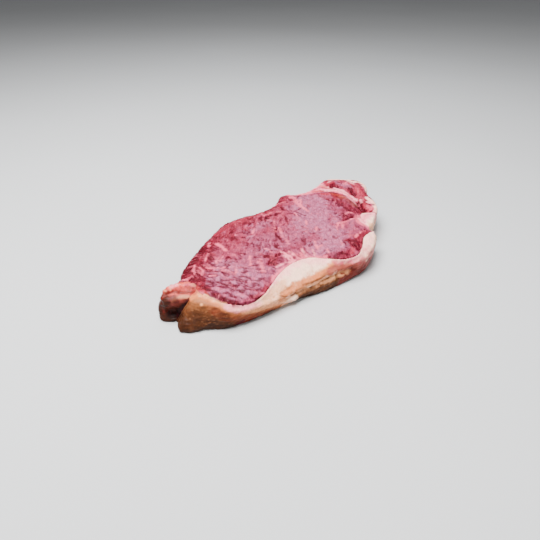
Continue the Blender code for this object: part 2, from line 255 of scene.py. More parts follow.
class NodeChain:
    """Short calls that add nodes to a shader or geometry tree and join them."""

    def __init__(self, tree: bpy.types.NodeTree) -> None:
        """Take the node tree that the nodes go into."""
        self.tree = tree

    def node(self, kind: str, sockets: dict[Any, Any] | None = None, **settings: Any) -> bpy.types.Node:
        """Add a node.

        Args:
            kind: The node's type name.
            sockets: What goes into its inputs: values, or outputs of other nodes.
            settings: The node's own settings.

        Returns:
            The new node.
        """
        made = self.tree.nodes.new(kind)
        for name, value in settings.items():
            setattr(made, name, value)
        for socket, value in (sockets or {}).items():
            self.feed(made.inputs[socket], value)
        return made

    def feed(self, socket: bpy.types.NodeSocket, value: Any) -> None:
        """Join an output to an input, or set the input to a value.

        Args:
            socket: The input.
            value: A number, a vector or another node's output.
        """
        if isinstance(value, bpy.types.NodeSocket):
            self.tree.links.new(value, socket)
        else:
            socket.default_value = value

    def math(self, operation: str, first: Any, second: Any = 0.0) -> Any:
        """The result of one sum on two numbers."""
        return self.node("ShaderNodeMath", {0: first, 1: second}, operation=operation).outputs[0]

    def times(self, first: Any, second: Any) -> Any:
        """One number times another."""
        return self.math("MULTIPLY", first, second)

    def remap(self, value: Any, low: float, high: float, start: float = 0.0, end: float = 1.0) -> Any:
        """The value's smooth step from low to high, as start to end."""
        sockets = {"Value": value, "From Min": low, "From Max": high, "To Min": start, "To Max": end}
        return self.node("ShaderNodeMapRange", sockets, interpolation_type="SMOOTHSTEP").outputs[0]

    def blend(self, share: Any, first: Any, second: Any) -> Any:
        """A number between two numbers."""
        return self.node("ShaderNodeMix", {0: share, 2: first, 3: second}, data_type="FLOAT").outputs[0]

    def tint(self, share: Any, first: Any, second: Any, way: str = "MIX") -> Any:
        """A colour between two colours, or their product."""
        sockets = {0: share, 6: first, 7: second}
        return self.node("ShaderNodeMix", sockets, data_type="RGBA", blend_type=way).outputs[2]

    def grey(self, value: Any) -> Any:
        """A colour with one number for red, green and blue."""
        return self.node("ShaderNodeCombineXYZ", {0: value, 1: value, 2: value}).outputs[0]

    def scaled(self, vector: Any, factor: Any) -> Any:
        """A vector times a number."""
        return self.node("ShaderNodeVectorMath", {0: vector, "Scale": factor}, operation="SCALE").outputs[0]

    def mark(self, name: str) -> Any:
        """A number stored at the mesh's points, for a material."""
        return self.node("ShaderNodeAttribute", attribute_name=name).outputs["Fac"]

    def noise(self, place: Any, detail: float, rough: float) -> Any:
        """Smooth noise between 0 and 1, one swing to a unit of place."""
        sockets = {"Vector": place, "Scale": 1.0, "Detail": detail, "Roughness": rough}
        return self.node("ShaderNodeTexNoise", sockets).outputs[0]

    def stretch(self, place: Any, turn: float, along: float, across: float, down: float) -> Any:
        """Places turned in plan and measured in swings.

        Args:
            place: The place in millimetres.
            turn: The direction of the long way, in degrees from +X.
            along: Length of a swing the long way, in millimetres.
            across: Length of a swing across it.
            down: Length of a swing in height.

        Returns:
            The place to look noise up at.
        """
        sockets = {"Vector": place, "Angle": math.radians(-turn)}
        turned = self.node("ShaderNodeVectorRotate", sockets, rotation_type="Z_AXIS").outputs[0]
        scale = (1.0 / along, 1.0 / across, 1.0 / down)
        return self.node("ShaderNodeVectorMath", {0: turned, 1: scale}, operation="MULTIPLY").outputs[0]

    def wander(self, place: Any, length: float, reach: float) -> Any:
        """Places moved about by slow noise.

        Args:
            place: The place in millimetres.
            length: Length of a swing of the noise.
            reach: About how far a place is moved at most.

        Returns:
            The moved place.
        """
        slow = self.stretch(place, 0.0, length, length, length)
        spread = self.node("ShaderNodeTexNoise", {"Vector": slow, "Scale": 1.0, "Detail": 1.0}).outputs[1]
        centred = self.node("ShaderNodeVectorMath", {0: spread, 1: (0.5, 0.5, 0.5)}, operation="SUBTRACT")
        moved = self.scaled(centred.outputs[0], 2.0 * reach)
        return self.node("ShaderNodeVectorMath", {0: place, 1: moved}, operation="ADD").outputs[0]


@dataclass(frozen=True)
class Pattern:
    """Stretched noise.

    Its size is a swing's length along, across and down in millimetres, its turn is the long way's
    direction in degrees from +X, and its wander is the length and reach of the noise that bends it.
    """

    size: tuple[float, float, float]
    turn: float = 0.0
    detail: float = 2.0
    rough: float = 0.5
    wander: Span | None = None

    def spread(self, chain: NodeChain, place: Any) -> Any:
        """The place to look the pattern up at."""
        moved = chain.wander(place, *self.wander) if self.wander else place
        return chain.stretch(moved, self.turn, *self.size)

    def value(self, chain: NodeChain, place: Any) -> Any:
        """The pattern at a place, 0 to 1."""
        return chain.noise(self.spread(chain, place), self.detail, self.rough)

    def between(self, chain: NodeChain, place: Any, low: float, high: float) -> Any:
        """The pattern at a place, from low to high."""
        return chain.remap(self.value(chain, place), *NOISE_SPAN, low, high)


@dataclass(frozen=True)
class Grain:
    """The meat's patterns: creases between the fibre bundles, pebbles, beads, specks and threads."""

    left: Pattern = Pattern((8.5, 4.4, 12.0), -80.0, 1.5)
    right: Pattern = Pattern((18.0, 4.4, 12.0), 34.0, 1.5)
    turning: Span = (-52.0, -26.0)
    crease_wander: Span = (9.0, 2.2)
    crease_share: float = 0.115
    crease_depth: float = 0.42
    breaks: Pattern = Pattern((5.0, 4.0, 12.0), 20.0)
    amount_weight: float = 0.40
    shown: Span = (0.62, 0.80)
    edge_rise: Span = (1.0, 1.5)
    edge_fall: Span = (3.0, 1.8)
    pebble: Pattern = Pattern((3.77, 2.9, 2.9), 34.0, 2.5)
    pebble_height: float = 0.34
    bead: Pattern = Pattern((3.0, 2.0, 1.6), -60.0, wander=(4.0, 1.0))
    bead_side: Span = (0.42, 0.12)
    bead_height: float = 0.24
    specks: Pattern = Pattern((2.0, 1.2, 1.4), 34.0, 3.0, 0.65, (5.0, 0.8))
    threads: Pattern = Pattern((3.4, 0.75, 1.2), 34.0, 3.0, 0.6, (6.0, 1.0))

    def creases(self, chain: NodeChain, place: Any, amount: Any) -> tuple[Any, Any]:
        """Creases between the fibre bundles, and the bundles' pale edges beside them.

        Args:
            chain: The nodes.
            place: The place in millimetres.
            amount: How many creases show, 0 to 1.

        Returns:
            Two outputs from 0 to 1: the creases and the pale edges.
        """
        moved = chain.wander(place, *self.crease_wander)
        levels = []
        for pattern in (self.left, self.right):
            levels.append(chain.math("ABSOLUTE", chain.math("SUBTRACT", pattern.value(chain, moved), 0.5)))
        along_steak = chain.node("ShaderNodeSeparateXYZ", {0: place}).outputs[0]
        level = chain.blend(chain.remap(along_steak, *self.turning), *levels)
        level = chain.math("DIVIDE", level, self.crease_share)
        broken = chain.math("ADD", self.breaks.value(chain, place), chain.times(amount, self.amount_weight))
        shown = chain.remap(broken, *self.shown)
        beside = chain.times(chain.remap(level, *self.edge_rise), chain.remap(level, *self.edge_fall))
        return chain.times(chain.remap(level, 0.0, 1.0, 1.0, 0.0), shown), chain.times(beside, shown)

    def pebbles(self, chain: NodeChain, place: Any) -> Any:
        """Rounded tops of the bundles, about -1 to 1."""
        return self.pebble.between(chain, place, -1.0, 1.0)

    def beads(self, chain: NodeChain, place: Any) -> Any:
        """Small wet beads on fat: 1 on top of a bead, 0 between them."""
        cell = {"Vector": self.bead.spread(chain, place), "Scale": 1.0, "Randomness": 1.0}
        distance = chain.node("ShaderNodeTexVoronoi", cell, feature="F1").outputs["Distance"]
        return chain.remap(distance, *self.bead_side)


@dataclass(frozen=True)
class Finish:
    """How one piece looks close up: its grain, fat's softness, gloss and glow."""

    name: str
    grain: Grain = Grain()
    # Creases are darkened towards deep red: partly the meat's colour, partly painted shade.
    crease_shade_tone: Tone = Tone.DEEP_RED
    crease_shade_strength: float = 0.85
    # Low places between the rounded bundles are darkened as painted shade.
    pit_shade_span: Span = (0.0, -0.9)
    pit_shade_strength: float = 0.24
    # High places on the bundles are lightened as painted highlights.
    top_highlight_span: Span = (0.1, 1.0)
    top_highlight_gain: tuple[float, ...] = (1.25, 1.7, 1.5, 1.0)
    top_highlight_strength: float = 0.5
    edge_tone: Tone = Tone.BLUSH
    edge_strength: float = 0.26
    # Pale threads are fibres of fat and also painted wet highlights.
    bright_threads_and_highlights: Span = (0.54, 0.70)
    dark_threads: Span = (0.46, 0.30)
    thread_strength: float = 0.26
    cloud_span: Span = (0.25, 0.75)
    cloud_gain: Span = (0.90, 1.08)
    speck_span: Span = (0.32, 0.68)
    speckle: float = 0.2
    mottling: Pattern = Pattern((3.2, 2.4, 2.4), 10.0, 3.0, 0.6)
    mottling_gain: Span = (0.8, 1.14)
    strands: Pattern = Pattern((12.0, 2.6, 0.9), -22.0, 3.0, 0.6, (8.0, 1.2))
    strand_gain: Span = (0.8, 1.16)
    top_mottling: float = 0.3
    # Bead tops are lightened as painted highlights.
    bead_highlight_tone: Tone = Tone.IVORY
    bead_highlight_strength: float = 0.10
    lumps: Pattern = Pattern((3.6, 3.6, 3.6))
    lump_height: float = 0.16
    ribs: Pattern = Pattern((9.0, 9.0, 1.7), -22.0, wander=(8.0, 1.2))
    rib_height: float = 0.28
    grit: Pattern = Pattern((0.9, 0.8, 0.8), 15.0, 3.0, 0.6)
    grit_height: float = 0.10
    thread_height: float = 0.16
    crease_bump: float = 0.20
    bump: float = 0.8
    patches: Pattern = Pattern((9.0, 6.0, 9.0), 30.0, 3.0, 0.6)
    roughness: float = 0.34
    patch_swing: Span = (-0.06, 0.08)
    gloss: float = 0.14
    film: float = 0.08
    film_roughness: float = 0.14
    film_index: float = 1.4
    glow: float = 0.10
    glow_reach: float = 1.6
    glow_radii: tuple[float, ...] = (1.0, 0.35, 0.25)

    def lean_height(self, chain: NodeChain, place: Any, amount: Any) -> Any:
        """Relief of the lean meat.

        Args:
            chain: The relief's nodes.
            place: The place in millimetres.
            amount: How many creases show, 0 to 1.

        Returns:
            The height in millimetres.
        """
        creases = chain.times(self.grain.creases(chain, place, amount)[0], -self.grain.crease_depth)
        pebbles = chain.times(self.grain.pebbles(chain, place), self.grain.pebble_height / 2.0)
        return chain.math("ADD", creases, pebbles)

    def fat_height(self, chain: NodeChain, place: Any, wall: Any, beaded: Any) -> Any:
        """Relief of the fat: soft lumps, ribs along its outer side, and beads.

        Args:
            chain: The relief's nodes.
            place: The place in millimetres.
            wall: 1 on the outer side, 0 on top.
            beaded: How much of the beads shows, 0 to 1.

        Returns:
            The height in millimetres.
        """
        soft = self.lumps.between(chain, place, -self.lump_height, self.lump_height)
        ribbed = self.ribs.between(chain, place, -self.rib_height, self.rib_height)
        beads = chain.times(self.grain.beads(chain, place), self.grain.bead_height)
        soft = chain.math("ADD", soft, chain.times(beads, beaded))
        return chain.math("ADD", soft, chain.times(ribbed, wall))

    def relief(self) -> bpy.types.NodeTree:
        """The node tree that lifts a piece's points along their normals."""
        tree = bpy.data.node_groups.new(f"{self.name}_relief", "GeometryNodeTree")
        for way in ("INPUT", "OUTPUT"):
            tree.interface.new_socket(name="Geometry", in_out=way, socket_type="NodeSocketGeometry")
        chain = NodeChain(tree)
        entry = chain.node("NodeGroupInput").outputs[0]
        place = chain.scaled(chain.node("GeometryNodeInputPosition").outputs[0], 1.0 / MM)
        marks = {}
        for mark in ("lean", "wall", "hold", "creased", "beaded"):
            sockets = {"Name": mark}
            marks[mark] = chain.node("GeometryNodeInputNamedAttribute", sockets, data_type="FLOAT").outputs[0]
        fat = self.fat_height(chain, place, marks["wall"], marks["beaded"])
        lean = self.lean_height(chain, place, marks["creased"])
        height = chain.times(chain.blend(marks["lean"], fat, lean), marks["hold"])
        normal = chain.node("GeometryNodeInputNormal").outputs[0]
        offset = chain.scaled(normal, chain.times(height, MM))
        moved = chain.node("GeometryNodeSetPosition", {"Geometry": entry, "Offset": offset}).outputs[0]
        chain.node("NodeGroupOutput", {0: moved})
        return tree

    def material(self) -> bpy.types.Material:
        """The piece's material."""
        material = bpy.data.materials.new(self.name)
        material.use_nodes = True
        chain = NodeChain(material.node_tree)
        place = chain.scaled(chain.node("ShaderNodeTexCoord").outputs["Object"], 1.0 / MM)
        paint = chain.node("ShaderNodeAttribute", attribute_name="tint").outputs["Color"]
        lean = chain.mark("lean")
        patterns = self.grain.creases(chain, place, chain.mark("creased"))
        creases, edges = (chain.times(pattern, lean) for pattern in patterns)
        threads = self.grain.threads.value(chain, place)
        beads = chain.times(self.grain.beads(chain, place), chain.mark("beaded"))
        # Painted highlights on the bead tops.
        paint = chain.tint(chain.times(beads, self.bead_highlight_strength), paint, self.bead_highlight_tone.opaque)
        paint = chain.tint(1.0, paint, chain.grey(self.mottle(chain, place, lean)), "MULTIPLY")
        paint = chain.tint(chain.times(edges, self.edge_strength), paint, self.edge_tone.opaque)
        patches = self.patches.value(chain, place)
        fine = chain.times(self.fine_height(chain, place, lean, creases, threads), MM)
        bump = {"Strength": self.bump, "Distance": 1.0, "Height": fine}
        looks = {
            "Base Color": self.colour(chain, place, paint, lean, creases, threads),
            "Roughness": chain.blend(patches, *(self.roughness + swing for swing in self.patch_swing)),
            "Normal": chain.node("ShaderNodeBump", bump).outputs[0],
            "Specular IOR Level": self.gloss,
            "Coat Weight": self.film,
            "Coat Roughness": self.film_roughness,
            "Coat IOR": self.film_index,
            "Subsurface Weight": self.glow,
            "Subsurface Radius": self.glow_radii,
            "Subsurface Scale": self.glow_reach * MM,
        }
        shader = material.node_tree.nodes["Principled BSDF"]
        for socket, value in looks.items():
            chain.feed(shader.inputs[socket], value)
        return material

    def mottle(self, chain: NodeChain, place: Any, lean: Any) -> Any:
        """How much brighter or darker than its paint the meat is.

        Args:
            chain: The material's nodes.
            place: The place in millimetres.
            lean: How lean the meat is.

        Returns:
            A number around 1 to multiply the paint by.
        """
        fat = chain.times(self.mottling.between(chain, place, *self.mottling_gain),
                          self.strands.between(chain, place, *self.strand_gain))
        fat = chain.blend(chain.math("MAXIMUM", chain.mark("wall"), self.top_mottling), 1.0, fat)
        specks = self.grain.specks.value(chain, place)
        specks = chain.remap(specks, *self.speck_span, 1.0 - self.speckle, 1.0 + self.speckle)
        return chain.blend(lean, fat, specks)

    def fine_height(self, chain: NodeChain, place: Any, lean: Any, creases: Any, threads: Any) -> Any:
        """The finest relief, which only the shading shows.

        Args:
            chain: The material's nodes.
            place: The place in millimetres.
            lean: How lean the meat is.
            creases: The crease pattern, on lean meat only.
            threads: The fine threads, 0 to 1.

        Returns:
            The height in millimetres.
        """
        meat = chain.math("SUBTRACT", chain.times(threads, self.thread_height),
                          chain.times(creases, self.crease_bump))
        fat = chain.times(self.grit.value(chain, place), self.grit_height)
        return chain.blend(lean, fat, meat)

    def colour(self, chain: NodeChain, place: Any, paint: Any, lean: Any, creases: Any,
               threads: Any) -> Any:
        """The painted colour with pits and creases darkened (painted shade, the creases also deep red),
        bundle tops lightened as painted highlights, and pale threads that are fibres and painted highlights
        worked into it.

        Args:
            chain: The material's nodes.
            place: The place in millimetres.
            paint: The colour painted on the mesh.
            lean: How lean the meat is.
            creases: The crease pattern, on lean meat only.
            threads: The fine threads, 0 to 1.

        Returns:
            The colour output.
        """
        dark = self.crease_shade_tone.opaque
        pebbles = self.grain.pebbles(chain, place)

        def share(pattern: Any, span: Span, strength: float) -> Any:
            """How much of a pattern shows on lean meat."""
            return chain.times(chain.times(chain.remap(pattern, *span), lean), strength)

        # Painted shade in the low places between the bundles.
        colour = chain.tint(share(pebbles, self.pit_shade_span, self.pit_shade_strength), paint, dark)
        # Painted highlights on the bundle tops.
        brighter = chain.tint(1.0, colour, self.top_highlight_gain, "MULTIPLY")
        colour = chain.tint(share(pebbles, self.top_highlight_span, self.top_highlight_strength), colour, brighter)
        # Pale threads: fibres and painted wet highlights.
        streaks = share(threads, self.bright_threads_and_highlights, self.thread_strength)
        colour = chain.tint(streaks, colour, self.edge_tone.opaque)
        colour = chain.tint(share(threads, self.dark_threads, self.thread_strength), colour, dark)
        cloud = chain.remap(threads, *self.cloud_span, *self.cloud_gain)
        colour = chain.tint(1.0, colour, chain.grey(cloud), "MULTIPLY")
        # The creases' deep red, partly painted shade.
        return chain.tint(chain.times(creases, self.crease_shade_strength), colour, dark)


def activate(piece: bpy.types.Object) -> None:
    """Make one object the only selected one."""
    bpy.ops.object.select_all(action="DESELECT")
    piece.select_set(True)
    bpy.context.view_layer.objects.active = piece


def ease(piece: bpy.types.Object, rounds: int, group: str = "") -> None:
    """Smooth a mesh.

    Args:
        piece: The object with the mesh.
        rounds: How many times it is smoothed.
        group: The vertex group to smooth, or nothing for the whole mesh.
    """
    activate(piece)
    smooth = piece.modifiers.new("ease", "SMOOTH")
    smooth.vertex_group = group
    smooth.factor = EASE_SHARE
    smooth.iterations = rounds
    bpy.ops.object.modifier_apply(modifier=smooth.name)


def read_places(piece: bpy.types.Object) -> np.ndarray:
    """A mesh's points in millimetres, as places on the steak."""
    flat = np.empty(len(piece.data.vertices) * 3)
    piece.data.vertices.foreach_get("co", flat)
    return flat.reshape(-1, 3) / MM + DRAWN_FROM


def write_places(piece: bpy.types.Object, places: np.ndarray) -> None:
    """Put a mesh's points at places on the steak."""
    piece.data.vertices.foreach_set("co", ((places - DRAWN_FROM) * MM).ravel())
    piece.data.update()


def read_normals(piece: bpy.types.Object) -> np.ndarray:
    """A mesh's normals at its points."""
    flat = np.empty(len(piece.data.vertices) * 3)
    piece.data.vertex_normals.foreach_get("vector", flat)
    return flat.reshape(-1, 3)


def write_mark(piece: bpy.types.Object, name: str, values: np.ndarray) -> None:
    """Store one number at each point of a mesh."""
    mark = piece.data.attributes.new(name, "FLOAT", "POINT")
    mark.data.foreach_set("value", np.ascontiguousarray(values, np.float32))


def ragged_noise(places: np.ndarray) -> np.ndarray:
    """Noise that frays the edges of strokes.

    Args:
        places: Places in millimetres, one a row.

    Returns:
        One number for each place, about -1 to 1.
    """
    total = np.zeros(len(places))
    for length, height in RAGGED_WAVES:
        total += height * np.array([noise.noise(Vector(place) / length) for place in places])
    return total


@dataclass(frozen=True)
class Edges:
    """How a piece ends at its seams and at its walls. Lengths are in millimetres."""

    fringe_fray: float = 1.1
    fringe_soft: float = 1.6
    wall_tilt: float = 0.35
    wall_soft: float = 0.4
    free_from: float = 1.6
    free_soft: float = 1.3
    least_relief: float = 0.15
    close_within: float = 0.75
    close_soft: float = 0.35
    halfway: float = 0.5
    widest_gap: float = 0.8
    narrowest_gap: float = 0.05
    overlap: float = 0.22
    rim_from_top: float = 2.0
    rim_from_side: float = 1.6
    rim_lift: float = 0.8
    rim_within: float = 0.9

    def relief_share(self, gap: np.ndarray) -> np.ndarray:
        """How much of the fine relief shows: little at a seam, and all of it away from one."""
        return self.least_relief + (1.0 - self.least_relief) * fade(-gap, -self.free_from, self.free_soft)

    def closing(self, normals: np.ndarray, gap: np.ndarray, toward: np.ndarray) -> np.ndarray:
        """The steps that close the seams and fill the grooves above them.

        Args:
            normals: The piece's normals.
            gap: The distance to the nearest other piece.
            toward: The step that leads there.

        Returns:
            One step for each point.
        """
        near = fade(gap, self.close_within, self.close_soft)
        length = self.halfway * np.minimum(gap, self.widest_gap) + self.overlap
        steps = (near * length / np.maximum(gap, self.narrowest_gap))[:, None] * toward
        up = np.clip(normals[:, 2], 0.0, 1.0)
        rim = np.minimum(self.rim_from_top * (1.0 - up), 1.0) * np.minimum(self.rim_from_side * up, 1.0)
        steps[:, 2] += self.rim_lift * rim * fade(gap, self.rim_within, self.rim_within)
        return steps


@dataclass
class Piece:
    """One piece of the steak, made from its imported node: a finer mesh, relief, paint and finish."""

    node: str
    finish: Finish
    base: Tone
    voxel: float = 0.6
    rounds: int = 14
    edges: Edges = Edges()
    fringe: Tone | None = None
    fringe_width: float = 0.4
    creased: float = 0.6
    crowds: list[Crowd] = field(default_factory=list)
    beaded: list[Crowd] = field(default_factory=list)
    strokes: Paint = field(default_factory=list)
    swells: list[Swell] = field(default_factory=list)

    def build(self) -> bpy.types.Object:
        """Make the piece, dress it, hang it on the body and hide its node."""
        piece = self.copy_node()
        self.remesh(piece)
        places = read_places(piece)
        normals = read_normals(piece)
        ragged = ragged_noise(places)
        gap, toward = self.reach_neighbours(places)
        self.paint(piece, places, ragged, gap)
        write_mark(piece, "wall", fade(np.abs(normals[:, 2]), self.edges.wall_tilt, self.edges.wall_soft))
        write_mark(piece, "hold", self.edges.relief_share(gap))
        write_mark(piece, "creased", crowded(places, self.creased, self.crowds))
        write_mark(piece, "beaded", crowded(places, 0.0, self.beaded))
        lift = sum((swell.lift(places, ragged) for swell in self.swells), np.zeros(len(places)))
        moved = places + normals * lift[:, None] + self.edges.closing(normals, gap, toward)
        write_places(piece, moved)
        self.raise_relief(piece)
        self.keep_in_box(piece)
        piece.data.materials.clear()
        piece.data.materials.append(self.finish.material())
        activate(piece)
        bpy.ops.object.shade_smooth()
        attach(piece, BODY)
        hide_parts(self.node)
        LOG.info("%s: %d faces", piece.name, len(piece.data.polygons))
        return piece

    def copy_node(self) -> bpy.types.Object:
        """A new object with the node's mesh, its doubles merged."""
        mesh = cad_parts[self.node].data.copy()
        piece = bpy.data.objects.new(f"{self.node}_dressed", mesh)
        bpy.context.scene.collection.objects.link(piece)
        activate(piece)
        bpy.ops.object.mode_set(mode="EDIT")
        bpy.ops.mesh.select_all(action="SELECT")
        bpy.ops.mesh.remove_doubles(threshold=MERGE_DISTANCE * MM)
        bpy.ops.object.mode_set(mode="OBJECT")
        return piece

    def remesh(self, piece: bpy.types.Object) -> None:
        """Give the piece an even, fine mesh and take out the facets of its solid."""
        activate(piece)
        net = piece.modifiers.new("net", "REMESH")
        net.mode = "VOXEL"
        net.voxel_size = self.voxel * MM
        bpy.ops.object.modifier_apply(modifier=net.name)
        ease(piece, self.rounds)

    def reach_neighbours(self, places: np.ndarray) -> tuple[np.ndarray, np.ndarray]:
        """How far the pieces next to this one are.

        Args:
            places: This piece's points.

        Returns:
            The distance to the nearest other piece, and the step that leads there.
        """
        points: list[Vector] = []
        faces: list[tuple[int, ...]] = []
        for name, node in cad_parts.items():
            if name == self.node:
                continue
            start = len(points)
            points += [vertex.co / MM for vertex in node.data.vertices]
            faces += [tuple(start + i for i in face.vertices) for face in node.data.polygons]
        tree = BVHTree.FromPolygons(points, faces)
        gap = np.empty(len(places))
        toward = np.empty((len(places), 3))
        for index, place in enumerate(places - DRAWN_FROM):
            nearest, _, _, distance = tree.find_nearest(Vector(place))
            gap[index] = distance
            toward[index] = np.array(nearest) - place
        return gap, toward

    def paint(self, piece: bpy.types.Object, places: np.ndarray, ragged: np.ndarray,
              gap: np.ndarray) -> None:
        """Store the piece's colour and leanness at its points.

        Args:
            piece: The piece.
            places: Its points.
            ragged: Noise that frays the strokes.
            gap: The distance to the nearest other piece.
        """
        colour = np.tile(self.base.linear, (len(places), 1))
        if self.fringe:
            frayed = gap + self.edges.fringe_fray * ragged
            cover = fade(frayed, self.fringe_width, self.edges.fringe_soft)[:, None]
            colour += cover * (self.fringe.linear - colour)
        for stroke in self.strokes:
            cover = stroke.cover(places, ragged)[:, None]
            colour += cover * (stroke.tone.linear - colour)
        paint = piece.data.attributes.new("tint", "FLOAT_COLOR", "POINT")
        rgba = np.column_stack([colour[:, :3], np.ones(len(colour))])
        paint.data.foreach_set("color", np.ascontiguousarray(rgba, np.float32).ravel())
        write_mark(piece, "lean", colour[:, 3])

    def raise_relief(self, piece: bpy.types.Object) -> None:
        """Lift the fine relief out of the surface."""
        activate(piece)
        relief = piece.modifiers.new("relief", "NODES")
        relief.node_group = self.finish.relief()
        bpy.ops.object.modifier_apply(modifier=relief.name)

    def keep_in_box(self, piece: bpy.types.Object) -> None:
        """Hold the points inside the steak's box, so that it lies flat."""
        low, high = (np.array(corner) / MM + DRAWN_FROM for corner in CAD_BOX)
        write_places(piece, np.clip(read_places(piece), low, high))


